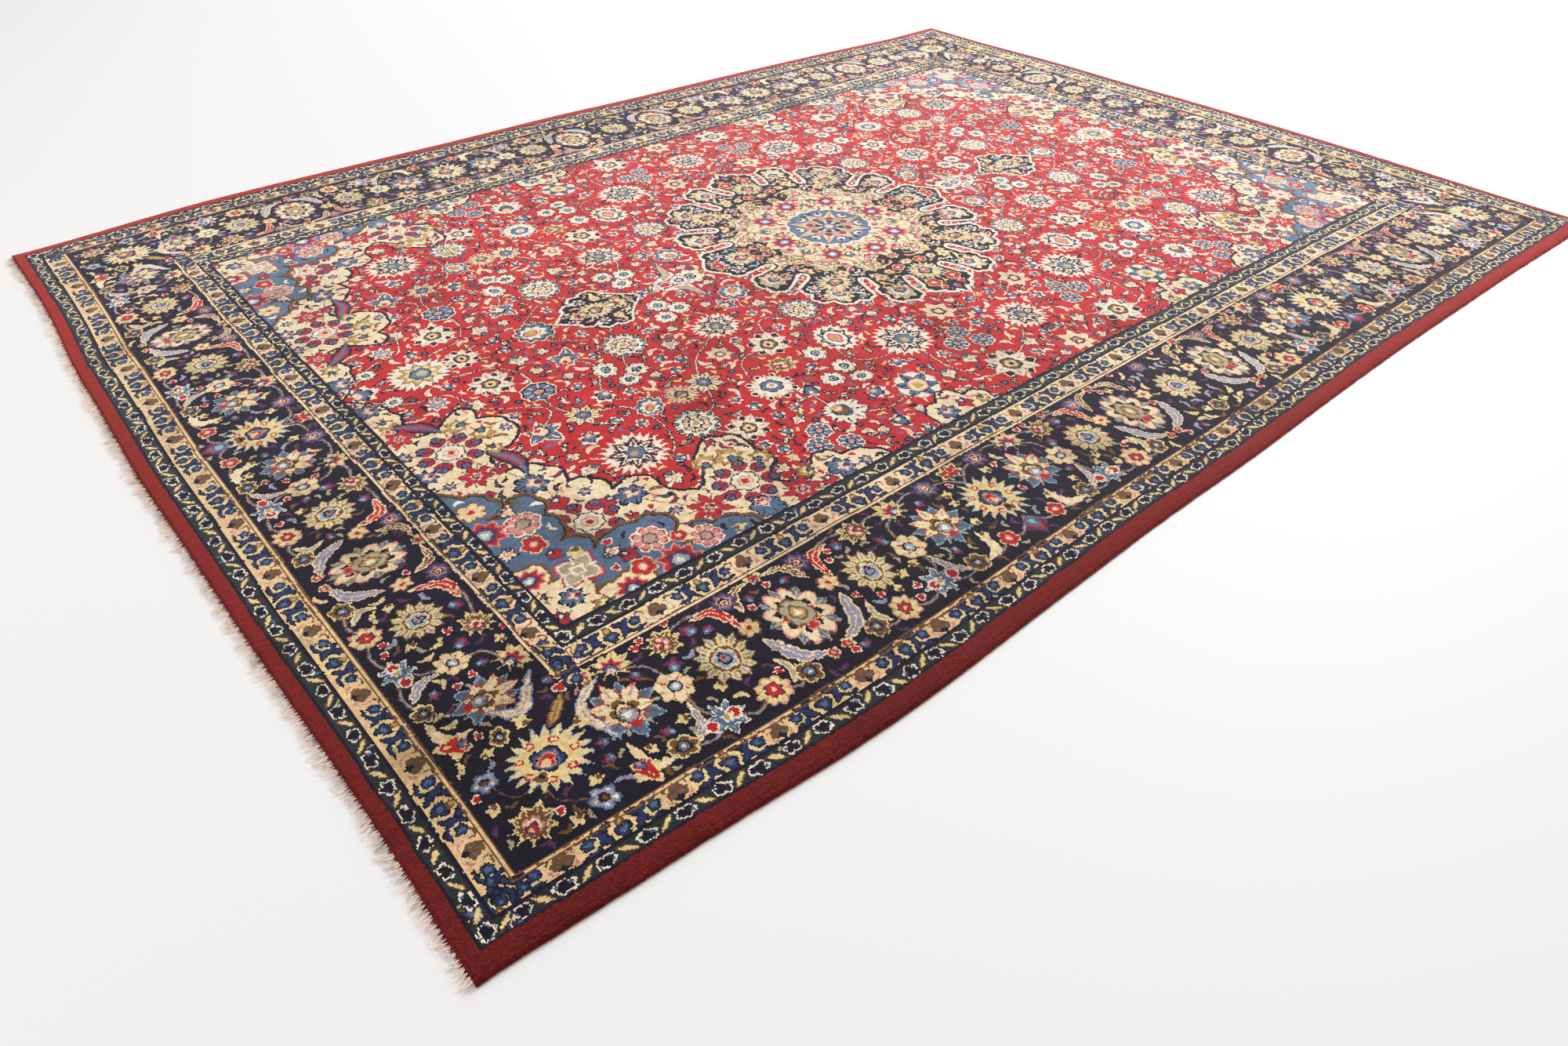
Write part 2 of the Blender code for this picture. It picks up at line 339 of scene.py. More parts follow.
def flower(name, x, y, size, turn=0.0):
    """Draw a flower; turn is the way it points, in degrees from the rug's long axis."""
    part, along, across = window(x, y, size * FURTHEST, turn)
    for form, dyes, reach, count, depth, rise, stretch in FLOWERS[name]:
        lengthways = (along - rise * size / 100) / stretch
        radius, angle = np.hypot(lengthways, across), np.arctan2(across, lengthways)
        reach = reach * size / 100
        step = math.tau / max(count, 1)
        off = (angle + (step / 2 if form in ("dots", "rays") else 0.0)) % step - step / 2
        if form == "dots":
            limit = np.full(radius.shape, depth * size / 100)
            radius = np.hypot(radius * np.cos(off) - reach, radius * np.sin(off))
        elif form in ("spokes", "rays"):
            line = np.abs(radius * np.sin(off)) < max(KNOT / 2, size * SPOKE)
            limit = np.where(line & (radius > reach * (1 - depth)), reach, 0.0)
        else:
            cleft_first, bluntness, lean = RIMS[form]
            tip = np.abs((angle * count / math.tau + cleft_first) % 1.0 * 2.0 - 1.0)
            limit = reach * (1.0 - depth * (1.0 - tip) ** bluntness)
            limit *= 1.0 - lean * (1.0 - np.cos(angle))
        for inset, dye in enumerate(dyes.split()):
            part[radius < limit - inset * OUTLINE] = DYE_NUMBER[dye]


def plant(rows, x=0.0, y=0.0, along=(1.0, 0.0), inwards=(0.0, 1.0)):
    """Draw a table of flowers: name, how far along and inwards, size, turn. The run starts
    at x, y; a flower's turn is counted from along towards inwards."""
    facing = math.degrees(math.atan2(along[1], along[0]))
    way = 1.0 if along[0] * inwards[1] - along[1] * inwards[0] > 0 else -1.0
    for name, far, deep, size, turn in rows:
        at_x = x + far * along[0] + deep * inwards[0]
        at_y = y + far * along[1] + deep * inwards[1]
        flower(name, at_x, at_y, size, facing + way * turn)


LEAF_BOW, LEAF_WIDTH = 0.5, 0.28            # of a sprinkled leaf, as shares of its size


def sprinkle(ground, kinds, room, tries):
    """Fill what is left of a ground with small flowers and curled leaves. A kind is the name
    of a flower, or else a leaf's dyes, and its size; it needs room mm of bare ground."""
    for _ in range(tries):
        x, y = chance.uniform(0, HALF_LENGTH), chance.uniform(0, HALF_WIDTH)
        part, along, across = window(x, y, room)
        near = np.hypot(along, across) < room
        if not (part[near] == DYE_NUMBER[ground]).all():
            continue
        turn = chance.uniform(0, math.tau)
        name, size = kinds[chance.integers(len(kinds))]
        if name in FLOWERS:
            flower(name, x, y, size, math.degrees(turn))
        else:
            way = np.array([math.cos(turn), math.sin(turn)]) * size
            side = np.array([-way[1], way[0]]) * LEAF_BOW
            here = np.array([x, y])
            leaf([here - way, here + side, here + way], size * LEAF_WIDTH, *name.split(),
                 teeth=4)


chart[:] = DYE_NUMBER["madder"]
FIELD_VINES = (
    ((1475, 40), (1400, 110), (1330, 130), (1290, 230), (1180, 330), (1240, 400)),
    ((1280, 60), (1190, 90), (1150, 160), (1160, 250), (1165, 330), (1135, 405)),
    ((1030, 50), (960, 110), (900, 140), (885, 200), (930, 270), (935, 330)),
    ((1135, 405), (1050, 430), (1020, 540), (1060, 640), (1130, 600)),
    ((840, 470), (890, 560), (960, 595), (930, 660), (885, 680)),
    ((840, 470), (800, 380), (730, 330), (655, 270), (640, 200), (700, 85)),
    ((735, 585), (690, 660), (680, 760), (600, 820), (470, 795), (400, 760)),
    ((460, 505), (500, 580), (470, 640), (400, 650), (335, 625)),
    ((335, 690), (345, 780), (310, 880), (220, 870), (120, 830), (60, 780)),
    ((335, 625), (270, 640), (255, 560), (155, 580), (80, 620), (0, 730)),
    ((610, 425), (560, 330), (500, 330), (430, 340), (400, 420), (460, 505)),
    ((495, 145), (530, 230), (490, 260), (430, 340)),
    ((610, 425), (700, 440), (740, 500), (735, 585)),
    ((1035, 165), (1000, 240), (1050, 365), (1000, 430), (915, 485)),
)
for points in FIELD_VINES:
    vine(points, "ivory", edge="navy", half_width=1.2)

# Columns: flower, x, y, size, turn.
FIELD_ROWS = (
    ("small palmette", 1475, 0, 38, 180),
    ("gold flame", 1335, 0, 68, 180),
    ("dark leaves", 1225, 0, 46, 180),
    ("blue palmette", 1030, 0, 58, 180),
    ("cream wheel", 1432, 72, 25, 0),
    ("grey palmette", 1360, 145, 34, 60),
    ("dark leaves", 1225, 150, 56, 20),
    ("blue wheel", 1160, 250, 40, 0),
    ("iris", 1035, 165, 52, 240),
    ("many petals", 885, 200, 58, 0),
    ("cream wheel", 990, 270, 31, 0),
    ("cream wheel", 968, 345, 29, 0),
    ("cream wheel", 928, 318, 29, 0),
    ("eight points", 1135, 405, 42, 0),
    ("iris", 1240, 400, 56, 110),
    ("small palmette", 1050, 365, 34, 30),
    ("cream bud", 1120, 90, 32, 80),
    ("cream bud", 1305, 210, 28, 150),
    ("star", 1130, 600, 70, 20),
    ("many petals", 960, 595, 54, 0),
    ("small palmette", 1170, 485, 32, 80),
    ("flame", 915, 480, 40, 270),
    ("dark leaves", 885, 680, 50, 40),
    ("eight points", 840, 470, 46, 0),
    ("cream bud", 1230, 590, 26, 20),
    ("blue palmette", 1005, 480, 40, 240),
    ("cream bud", 1120, 715, 28, 90),
    ("cream wheel", 700, 85, 31, 0),
    ("cream wheel", 662, 128, 31, 0),
    ("cream wheel", 722, 150, 31, 0),
    ("star", 655, 270, 60, 30),
    ("blue palmette", 495, 145, 46, 60),
    ("iris", 565, 200, 38, 200),
    ("many petals", 430, 340, 54, 0),
    ("dark leaves", 610, 425, 56, 0),
    ("cream bud", 490, 255, 28, 250),
    ("cream bud", 795, 265, 32, 60),
    ("peach star", 735, 385, 34, 0),
    ("cream bud", 825, 100, 26, 200),
    ("star", 335, 625, 72, 90),
    ("pear", 460, 510, 54, 270),
    ("beads", 735, 585, 56, 0),
    ("lotus", 680, 760, 58, 110),
    ("blue star", 470, 795, 58, 30),
    ("dark leaves", 220, 870, 64, 10),
    ("cream wheel", 600, 648, 30, 0),
    ("cream wheel", 537, 620, 29, 0),
    ("cream wheel", 540, 682, 29, 0),
    ("blue wheel", 775, 790, 28, 0),
    ("blue wheel", 815, 830, 28, 0),
    ("blue wheel", 752, 860, 28, 0),
    ("blue wheel", 205, 690, 28, 0),
    ("blue wheel", 250, 728, 28, 0),
    ("blue wheel", 185, 752, 28, 0),
    ("cream wheel", 555, 535, 34, 0),
    ("brown palmette", 655, 525, 42, 200),
    ("peach star", 155, 580, 46, 0),
    ("star", 0, 730, 64, 90),
    ("peach star", 0, 905, 50, 90),
    ("small palmette", 570, 755, 34, 130),
    ("blue bud", 680, 655, 32, 250),
    ("small palmette", 425, 695, 30, 60),
    ("cream bud", 370, 800, 28, 80),
    ("small palmette", 255, 560, 30, 30),
    ("small palmette", 120, 685, 26, 0),
    ("cream bud", 100, 825, 28, 90),
    ("cream bud", 280, 785, 28, 90),
    ("small palmette", 400, 885, 32, 100),
    ("blue bud", 610, 870, 28, 100),
    ("blue bud", 70, 640, 26, 60),
    ("cream bud", 385, 478, 26, 300),
)
plant(FIELD_ROWS)
sprinkle("madder", (("cream bud", 22), ("blue bud", 20), ("small palmette", 21)), 28, 5000)
sprinkle("madder", (("navy ivory", 21), ("navy cream", 19), ("ivory gold", 18)), 17, 7000)
sprinkle("madder", (("navy gold", 14), ("ivory", 12), ("trefoil", 10), ("straw", 11)), 11, 7000)
sprinkle("madder", (("slate", 9), ("navy", 8), ("apricot", 8)), 9, 6000)

# ---------------------------------------------------------------------------------------
# The ornaments on the long axis, knotted into the red field: a cross flower, whose ivory
# wings reach out to both sides, and beyond it a navy cartouche with pointed ends.
FLOWERS |= {
    "heart": (
        ("flames", "straw", 108, 7, 0.36, 0, 0.95),
        ("flames", "plum madder", 88, 7, 0.38, -4, 0.95),
        ("rays", "straw", 66, 5, 0.70, -4, 0.90),
        ("crown", "navy slate", 34, 3, 0.30, -34, 0.90),
        ("petals", "rose", 10, 0, 0, -34, 0.90),
    ),
    "half palmette": (
        ("flames", "straw", 110, 9, 0.38, 0, 1.0),
        ("rays", "gold", 96, 9, 0.34, 0, 1.0),
        ("flames", "rose madder", 74, 7, 0.40, -8, 1.0),
        ("rays", "plum", 58, 7, 0.40, -8, 1.0),
        ("crown", "navy slate", 44, 3, 0.28, -22, 0.9),
        ("petals", "ivory rose", 17, 0, 0, -30, 1.0),
    ),
    "apricot flower": (
        ("petals", "brown apricot", 104, 6, 0.30, 0, 1.0),
        ("dots", "cream", 62, 6, 12, 0, 1.0),
        ("petals", "madder", 24, 0, 0, 0, 1.0),
    ),
    "red trefoil": (
        ("petals", "ivory", 110, 3, 0.34, 0, 1.1),
        ("petals", "madder", 84, 3, 0.34, 0, 1.1),
    ),
}


def scallops(rows, steps=13, ripple=0.3):
    """The line of a lobed edge, listed from the long axis round to the short one. A row is
    x, y and how far the arc to the next row stands out, as a share of the distance. Each
    arc is two small scallops, which stand out by the ripple as a share of the arc."""
    line = []
    for (x, y, bulge), (next_x, next_y, _) in zip(rows, rows[1:]):
        here, there = np.array([x, y]), np.array([next_x, next_y])
        out = np.array([next_y - y, x - next_x]) * bulge
        t = np.linspace(0.0, 1.0, steps, endpoint=False)[:, None]
        bow = 4 * t * (1 - t) + ripple * np.abs(np.sin(math.tau * t))
        line.append(here + (there - here) * t + out * bow)
    return np.vstack([*line, np.array([rows[-1][:2]])])


STRAY = 14.0                   # mm, no knot strays as far as this


def fill(line, dye):
    """Colour every knot inside a closed line, and say which knots those are."""
    inside = np.zeros(chart.shape, bool)
    for (x0, y0), (x1, y1) in zip(line, np.roll(line, -1, axis=0)):
        first = max(int((min(y0, y1) - STRAY) / KNOT), 0)
        columns = slice(first, max(int((max(y0, y1) + STRAY) / KNOT) + 1, 0))
        y = knot_y[None, columns] + stray_y[:, columns]
        at = x0 + (y - y0) * (x1 - x0) / (y1 - y0 or 1.0)
        crossed = (y0 > y) != (y1 > y)
        inside[:, columns] ^= crossed & (knot_x[:, None] + stray_x[:, columns] < at)
    chart[inside] = DYE_NUMBER[dye]
    return inside


def trim(line, half_width, dye):
    """Colour a line along a lobed edge."""
    dense = [line[:1]]
    for here, there in zip(line, line[1:]):
        count = max(1, round(np.linalg.norm(there - here) / 2.0))
        dense.append(here + (there - here) * np.linspace(0, 1, count + 1)[1:, None])
    stroke(np.vstack(dense), half_width, dye)


WING = ((640, 20, 0.0), (556, 26, 0.0), (556, 138, 0.12), (584, 78, 0.18), (610, 45, 0.0))
wing = scallops(WING)
trim(wing, 6.0, "plum")
fill(wing, "ivory")
leaf([(600, 30), (572, 62), (560, 122)], 13.0, "plum", "sage", edge=2.6)
leaf([(570, 34), (563, 70), (558, 118)], 5.0, "rose")
plant((
    ("cream bud", 625, 0, 30, 0),
    ("cream wheel", 528, 0, 40, 0),
    ("beads", 567, 0, 32, 0),
    ("red trefoil", 612, 0, 18, 0),
    ("blue bud", 688, 0, 16, 0),
))
CARTOUCHE = (
    (958, -1, 0.0),
    (912, 42, 0.3),
    (868, 62, 0.35),
    (832, 98, 0.28),
    (784, 92, 0.0),
    (708, -1, 0.0),
)
cartouche = scallops(CARTOUCHE)
fill(cartouche, "navy")
trim(cartouche, 3.6, "ivory")
plant((
    ("flame", 842, 0, 44, 180),
    ("half palmette", 892, 0, 26, 0),
    ("half palmette", 782, 0, 34, 180),
    ("heart", 744, 0, 16, 180),
    ("small palmette", 852, 62, 22, 90),
    ("apricot flower", 806, 60, 18, 0),
    ("blue bud", 918, 16, 12, 60),
    ("cream bud", 768, 42, 15, 120),
))

# ---------------------------------------------------------------------------------------
# The medallion: a navy lobed shield edged with ivory, a cream star on it, and a slate blue
# round within. It is knotted with the most detail of all, so little of its ground is bare.
PAST_MIDDLE = [[-9.0, -9.0]]   # closes an outline just beyond the rug's middle
SHIELD = (
    (474, -1, 0.05), (438, 58, 0.30), (392, 86, 0.0), (322, 83, -0.45), (322, 114, 0.0),
    (384, 120, 0.20), (420, 152, 0.25), (414, 192, 0.35), (350, 228, 0.0),
    (300, 194, -0.45), (283, 219, 0.0), (334, 247, 0.25), (346, 302, 0.35),
    (328, 370, 0.25), (264, 404, 0.40), (206, 386, 0.0), (194, 326, -0.45),
    (164, 334, 0.0), (178, 386, 0.20), (190, 432, 0.28), (165, 488, 0.38),
    (104, 458, 0.0), (84, 397, -0.45), (55, 401, 0.0), (66, 452, 0.35),
    (50, 508, 0.28), (18, 530, 0.0), (-1, 566, 0.0),
)
shield = scallops(SHIELD)
shield_knots = fill(np.vstack([shield, PAST_MIDDLE]), "navy")
trim(shield, 4.4, "ivory")
STAR = (
    (298, -1, -0.12), (214, 42, 0.20), (236, 84, 0.10), (272, 122, 0.10),
    (206, 150, 0.20), (214, 196, 0.20), (150, 196, 0.10), (132, 236, 0.10),
    (104, 290, 0.12), (78, 232, 0.20), (44, 216, -0.10), (-1, 316, 0.0),
)
star = scallops(STAR)
fill(np.vstack([star, PAST_MIDDLE]), "cream")
for share, dye in ((1.0, "brown"), (0.86, "rose"), (0.72, "slate"), (0.60, "brown")):
    trim(star * share, 1.5, dye)
TENDRILS = (
    ((140, 16), (166, 46), (200, 40), (232, 66), (262, 46)),
    ((150, 26), (138, 76), (168, 112), (204, 102), (222, 132), (258, 128)),
    ((100, 100), (132, 120), (122, 162), (152, 186), (186, 152)),
    ((112, 108), (98, 150), (128, 190), (112, 224), (136, 246)),
    ((40, 140), (78, 150), (86, 190), (60, 222), (86, 250)),
    ((20, 150), (50, 172), (38, 208), (70, 232), (40, 268)),
)
for number, points in enumerate(TENDRILS):
    vine(points, "brown" if number % 2 else "navy", half_width=2.2)
FLOWERS |= {
    "bud": (
        ("flames", "plum", 106, 5, 0.36, 0, 1.1),
        ("flames", "madder", 76, 3, 0.40, -6, 1.1),
        ("petals", "slate", 48, 3, 0.20, -16, 1.2),
        ("petals", "sky", 20, 0, 0, -24, 1.2),
    ),
    "red flower": (
        ("petals", "straw madder", 104, 5, 0.28, 0, 1.0),
        ("spokes", "plum", 82, 5, 0.45, 0, 1.0),
        ("petals", "rose cream", 34, 0, 0, 0, 1.0),
    ),
    "tuft": (
        ("flames", "straw", 106, 5, 0.42, 0, 1.2),
        ("petals", "brown", 36, 0, 0, -24, 1.0),
    ),
    "middle": (
        ("petals", "ivory", 104, 16, 0.06, 0, 1.0),
        ("petals", "slate", 100, 16, 0.07, 0, 1.0),
        ("points", "cream", 94, 8, 0.66, 0, 1.0),
        ("rays", "gold", 84, 8, 0.40, 0, 1.0),
        ("between", "rose sage", 60, 8, 0.40, 0, 1.0),
        ("dots", "plum madder", 46, 8, 9, 0, 1.0),
        ("petals", "navy indigo", 34, 8, 0.16, 0, 1.0),
        ("spokes", "cream", 32, 8, 0.5, 0, 1.0),
        ("petals", "slate", 20, 8, 0.16, 0, 1.0),
        ("petals", "rose cream", 12, 0, 0, 0, 1.0),
    ),
    "ring of buds": (
        ("dots", "ivory", 74, 8, 10, 0, 1.0),
        ("dots", "plum", 78, 8, 6, 0, 1.0),
        ("dots", "rose", 52, 8, 8, 0, 1.0),
    ),
    "plum palmette": (
        ("points", "rose", 104, 9, 0.34, 0, 1.1),
        ("points", "madder", 90, 9, 0.36, 0, 1.1),
        ("petals", "plum", 56, 5, 0.25, 0, 1.1),
        ("petals", "sky", 34, 4, 0.2, 0, 1.1),
        ("petals", "ivory", 16, 0, 0, 0, 1.0),
    ),
    "rose bud": (
        ("flames", "ivory", 118, 5, 0.34, 0, 1.1),
        ("flames", "plum rose", 96, 5, 0.36, 0, 1.1),
        ("petals", "madder", 34, 3, 0.30, -16, 1.0),
    ),
    "slate bud": (
        ("flames", "gold", 118, 5, 0.34, 0, 1.1),
        ("flames", "navy slate", 96, 5, 0.36, 0, 1.1),
        ("petals", "ivory", 30, 3, 0.30, -16, 1.0),
    ),
    "straw palmette": (
        ("flames", "brown straw", 112, 9, 0.30, 0, 1.05),
        ("rays", "brown", 96, 9, 0.34, 0, 1.05),
        ("crown", "navy ivory", 68, 7, 0.26, -4, 1.0),
        ("crown", "plum rose", 44, 5, 0.30, -8, 1.0),
        ("petals", "madder cream", 24, 4, 0.30, -10, 1.0),
    ),
    "lobe palmette": (
        ("flames", "straw", 110, 9, 0.34, 0, 1.1),
        ("flames", "brown ivory", 90, 7, 0.34, -4, 1.1),
        ("rays", "rose", 74, 7, 0.40, -4, 1.1),
        ("crown", "navy slate", 46, 5, 0.24, -12, 1.0),
        ("petals", "cream madder", 24, 3, 0.30, -18, 1.0),
    ),
}
plant((
    ("straw palmette", 268, 88, 50, 20),
    ("straw palmette", 188, 186, 50, 46),
    ("straw palmette", 92, 262, 48, 70),
    ("middle", 0, 0, 128, 0),
    ("ring of buds", 0, 0, 128, 22.5),
    ("plum palmette", 182, 0, 42, 0),
    ("heart", 246, 0, 24, 0),
    ("plum palmette", 0, 196, 42, 90),
    ("heart", 0, 262, 24, 90),
    ("plum palmette", 126, 150, 40, 50),
    ("rose bud", 212, 54, 26, 20),
    ("rose bud", 52, 224, 26, 74),
    ("red trefoil", 150, 52, 14, 20),
    ("red trefoil", 56, 150, 14, 70),
    ("slate bud", 176, 88, 22, 26),
    ("slate bud", 88, 178, 22, 64),
    ("slate bud", 162, 48, 18, 20),
    ("slate bud", 46, 166, 18, 70),
    ("rose bud", 216, 146, 22, 36),
    ("rose bud", 146, 222, 22, 56),
    ("flame", 352, 0, 44, 0),
    ("flame", 0, 396, 50, 90),
    ("flame", 252, 286, 48, 49),
    ("red flower", 434, 0, 22, 0),
    ("small palmette", 398, 50, 25, 40),
    ("red flower", 310, 30, 18, 0),
    ("apricot flower", 312, 120, 22, 0),
    ("lobe palmette", 366, 168, 50, 24),
    ("apricot flower", 262, 190, 23, 0),
    ("rose bud", 318, 186, 16, 30),
    ("lobe palmette", 288, 346, 50, 52),
    ("small palmette", 316, 280, 27, 30),
    ("small palmette", 228, 352, 27, 70),
    ("apricot flower", 196, 262, 23, 0),
    ("rose bud", 186, 316, 16, 60),
    ("lobe palmette", 142, 432, 50, 68),
    ("apricot flower", 128, 352, 23, 0),
    ("red flower", 42, 330, 19, 0),
    ("red flower", 36, 462, 24, 90),
    ("bud", 0, 512, 22, 90),
    ("small palmette", 62, 386, 20, 90),
    ("red trefoil", 352, 99, 12, 0),
    ("red trefoil", 316, 224, 12, 38),
    ("red trefoil", 189, 358, 12, 75),
    ("red trefoil", 76, 428, 12, 80),
    ("tuft", 492, 0, 20, 0),
))
sprinkle("cream", (("rose bud", 18), ("slate bud", 18), ("plum rose", 19)), 13, 6000)
sprinkle("cream", (("navy plum", 14), ("brown gold", 14), ("navy slate", 13)), 9, 9000)
sprinkle("cream", (("plum", 9), ("madder", 9), ("brown", 9)), 7, 9000)
sprinkle("navy", (("small palmette", 21), ("apricot flower", 18), ("cream bud", 18)), 19, 9000)
sprinkle("navy", (("sky", 13), ("rose ivory", 14), ("straw", 13), ("red trefoil", 10)), 10, 12000)
sprinkle("navy", (("ivory", 8), ("rose", 8), ("straw", 8)), 7, 12000)
# The navy rim is drawn again over what overlaps it, and the field round it is kept.
around_shield = chart[~shield_knots]
trim(shield, 12.0, "navy")
chart[~shield_knots] = around_shield
trim(shield, 4.4, "ivory")
vine([(0, 568), (26, 590), (70, 600), (110, 570)], "ivory", edge="navy", half_width=1.2)

# ---------------------------------------------------------------------------------------
# The spandrels: one knotted in each corner of the field, cream with red and plum flowers
# and lobed against the red, and a half lobe of the same cream farther along the long side.
# Each holds a slate blue corner with its own small cream one.
BEYOND_X, BEYOND_Y = 1700.0, 1100.0          # out in the border, which is knotted over it


def out_to_border(line):
    """Close an outline round the corner, beyond the border's inner edge."""
    return np.vstack([line, [[line[-1][0], BEYOND_Y], [BEYOND_X, BEYOND_Y],
                             [BEYOND_X, line[0][1]]]])


SPANDREL = (
    (1522, -1, -0.10), (1455, 110, -0.25), (1475, 180, 0.30), (1404, 240, 0.0),
    (1375, 212, -0.45), (1322, 262, -0.30), (1300, 385, -0.10), (1362, 405, 0.10),
    (1370, 478, -0.25), (1290, 595, -0.20), (1235, 672, -0.35), (1155, 730, 0.15),
    (1120, 770, 0.25), (1075, 755, 0.10), (1048, 690, -0.45), (925, 755, -0.25),
    (945, 825, 0.35), (900, 900, -0.10), (870, 868, -0.35), (800, 882, -0.20),
    (715, 962, 0.0),
)
spandrel = scallops(SPANDREL)
fill(out_to_border(spandrel), "cream")
trim(spandrel, 3.8, "navy")
# Two almonds of madder and plum that lie in the lobed edge.
ALMONDS = (
    ((1486, 172), (1437, 208), (1402, 260)),
    ((1366, 392), (1331, 450), (1340, 518)),
)
for points in ALMONDS:
    leaf(points, 20, "navy", "plum", "madder", edge=4.5)
    leaf(points, 5, "slate")
SIDE_LOBE = ((604, 962, 0.15), (548, 925, -0.30), (494, 878, -0.45), (420, 894, -0.35),
             (372, 940, -0.10), (330, 962, 0.0))
side_lobe = scallops(SIDE_LOBE)
fill(side_lobe, "cream")
trim(side_lobe, 3.8, "navy")
FLOWERS |= {
    "pink daisy": (
        ("petals", "ivory", 106, 8, 0.18, 0, 1.0),
        ("petals", "madder rose", 96, 8, 0.24, 0, 1.0),
        ("spokes", "ivory", 80, 8, 0.40, 0, 1.0),
        ("petals", "plum sage", 46, 6, 0.2, 0, 1.0),
        ("petals", "rose", 14, 0, 0, 0, 1.0),
    ),
    "square palmette": (
        ("points", "madder rose", 112, 4, 0.44, 0, 1.15),
        ("points", "ivory", 94, 4, 0.44, 0, 1.15),
        ("points", "sage", 84, 4, 0.44, 0, 1.15),
        ("spokes", "ivory", 76, 4, 0.8, 0, 1.15),
        ("points", "rose ivory", 44, 4, 0.3, 0, 1.15),
        ("petals", "sage", 18, 4, 0.3, 0, 1.1),
    ),
    "spandrel wheel": (
        ("dots", "plum madder", 74, 8, 25, 0, 1.0),
        ("dots", "navy slate", 86, 8, 17, 0, 1.0),
        ("rays", "plum", 100, 8, 0.50, 0, 1.0),
        ("petals", "navy ivory", 46, 8, 0.14, 0, 1.0),
        ("petals", "rose cream", 26, 6, 0.2, 0, 1.0),
        ("petals", "madder", 12, 4, 0.3, 0, 1.0),
    ),
    "red star": (
        ("dots", "navy slate", 74, 6, 25, 0, 1.0),
        ("points", "plum madder", 122, 6, 0.58, 0, 1.0),
        ("spokes", "plum", 110, 6, 0.60, 0, 1.0),
        ("points", "rose cream", 46, 6, 0.40, 0, 1.0),
        ("petals", "navy rose", 24, 0, 0, 0, 1.0),
    ),
    "slate palmette": (
        ("crown", "navy slate", 112, 7, 0.22, 0, 1.1),
        ("rays", "navy", 100, 7, 0.50, 0, 1.1),
        ("flames", "ivory madder", 60, 5, 0.40, -38, 1.0),
        ("petals", "cream", 20, 3, 0.3, -20, 1.0),
    ),
    "navy flower": (
        ("crown", "ivory navy", 114, 7, 0.30, 0, 1.0),
        ("crown", "slate", 88, 7, 0.34, 0, 1.0),
        ("rays", "navy", 90, 7, 0.50, 0, 1.0),
        ("flames", "rose cream", 56, 5, 0.40, -10, 1.0),
        ("petals", "plum", 20, 3, 0.3, -20, 1.0),
    ),
    "brown bloom": (
        ("flames", "brown gold", 112, 7, 0.36, 0, 1.1),
        ("rays", "brown", 94, 7, 0.50, 0, 1.1),
        ("crown", "cream", 58, 5, 0.36, -8, 1.0),
        ("crown", "navy slate", 44, 3, 0.3, -26, 1.0),
    ),
    "plum heart": (
        ("flames", "plum madder", 112, 5, 0.34, 0, 1.1),
        ("rays", "plum", 92, 5, 0.50, 0, 1.1),
        ("crown", "navy slate", 46, 3, 0.3, -26, 1.0),
        ("petals", "ivory", 15, 0, 0, -20, 1.0),
    ),
}
SPANDREL_VINES = (
    ((1430, 350), (1390, 440), (1345, 560), (1345, 640), (1330, 730)),
    ((1330, 730), (1240, 720), (1180, 780), (1125, 840), (1015, 825), (990, 735)),
    ((1125, 840), (1060, 900), (970, 915), (900, 940), (855, 915)),
    ((1430, 350), (1400, 270), (1470, 230), (1490, 120)),
)
for points in SPANDREL_VINES:
    vine(points, "brown", half_width=1.4)
plant((
    ("spandrel wheel", 1330, 730, 70, 0),
    ("spandrel wheel", 1015, 825, 72, 20),
    ("spandrel wheel", 1425, 345, 72, 0),
    ("red star", 1125, 845, 46, 20),
    ("red star", 945, 918, 40, 50),
    ("navy flower", 1348, 555, 44, 0),
    ("navy flower", 1215, 712, 42, 30),
    ("plum heart", 1345, 636, 30, 90),
    ("plum heart", 1402, 585, 22, 200),
    ("plum heart", 1262, 700, 24, 30),
    ("brown bloom", 1040, 722, 34, 250),
    ("brown bloom", 985, 742, 38, 280),
    ("brown bloom", 938, 782, 30, 200),
    ("slate palmette", 1034, 912, 40, 90),
    ("brown bloom", 895, 880, 26, 0),
    ("navy flower", 828, 918, 40, 0),
    ("plum heart", 885, 930, 24, 90),
    ("navy flower", 772, 930, 22, 0),
    ("navy flower", 1492, 75, 40, 0),
    ("plum heart", 1512, 30, 20, 0),
    ("brown bloom", 1488, 150, 30, 100),
    ("red star", 1486, 228, 36, 0),
    ("brown bloom", 1368, 262, 32, 0),
    ("brown bloom", 1338, 318, 32, 90),
    ("brown bloom", 1345, 388, 24, 90),
    ("red star", 1425, 452, 38, 90),
    ("navy flower", 1502, 395, 32, 0),
    ("navy flower", 1504, 300, 26, 0),
    ("plum heart", 1372, 460, 22, 60),
    ("navy flower", 500, 915, 32, 90),
    ("plum heart", 445, 912, 24, 90),
    ("brown bloom", 398, 925, 22, 90),
    ("plum heart", 556, 942, 18, 90),
))
sprinkle("cream", (("plum heart", 18), ("navy flower", 19)), 19, 6000)
sprinkle("cream", (("plum madder", 17), ("brown gold", 16), ("navy slate", 17)), 14, 9000)
sprinkle("cream", (("rose", 11), ("plum", 11), ("navy", 11), ("red trefoil", 8)), 10, 12000)

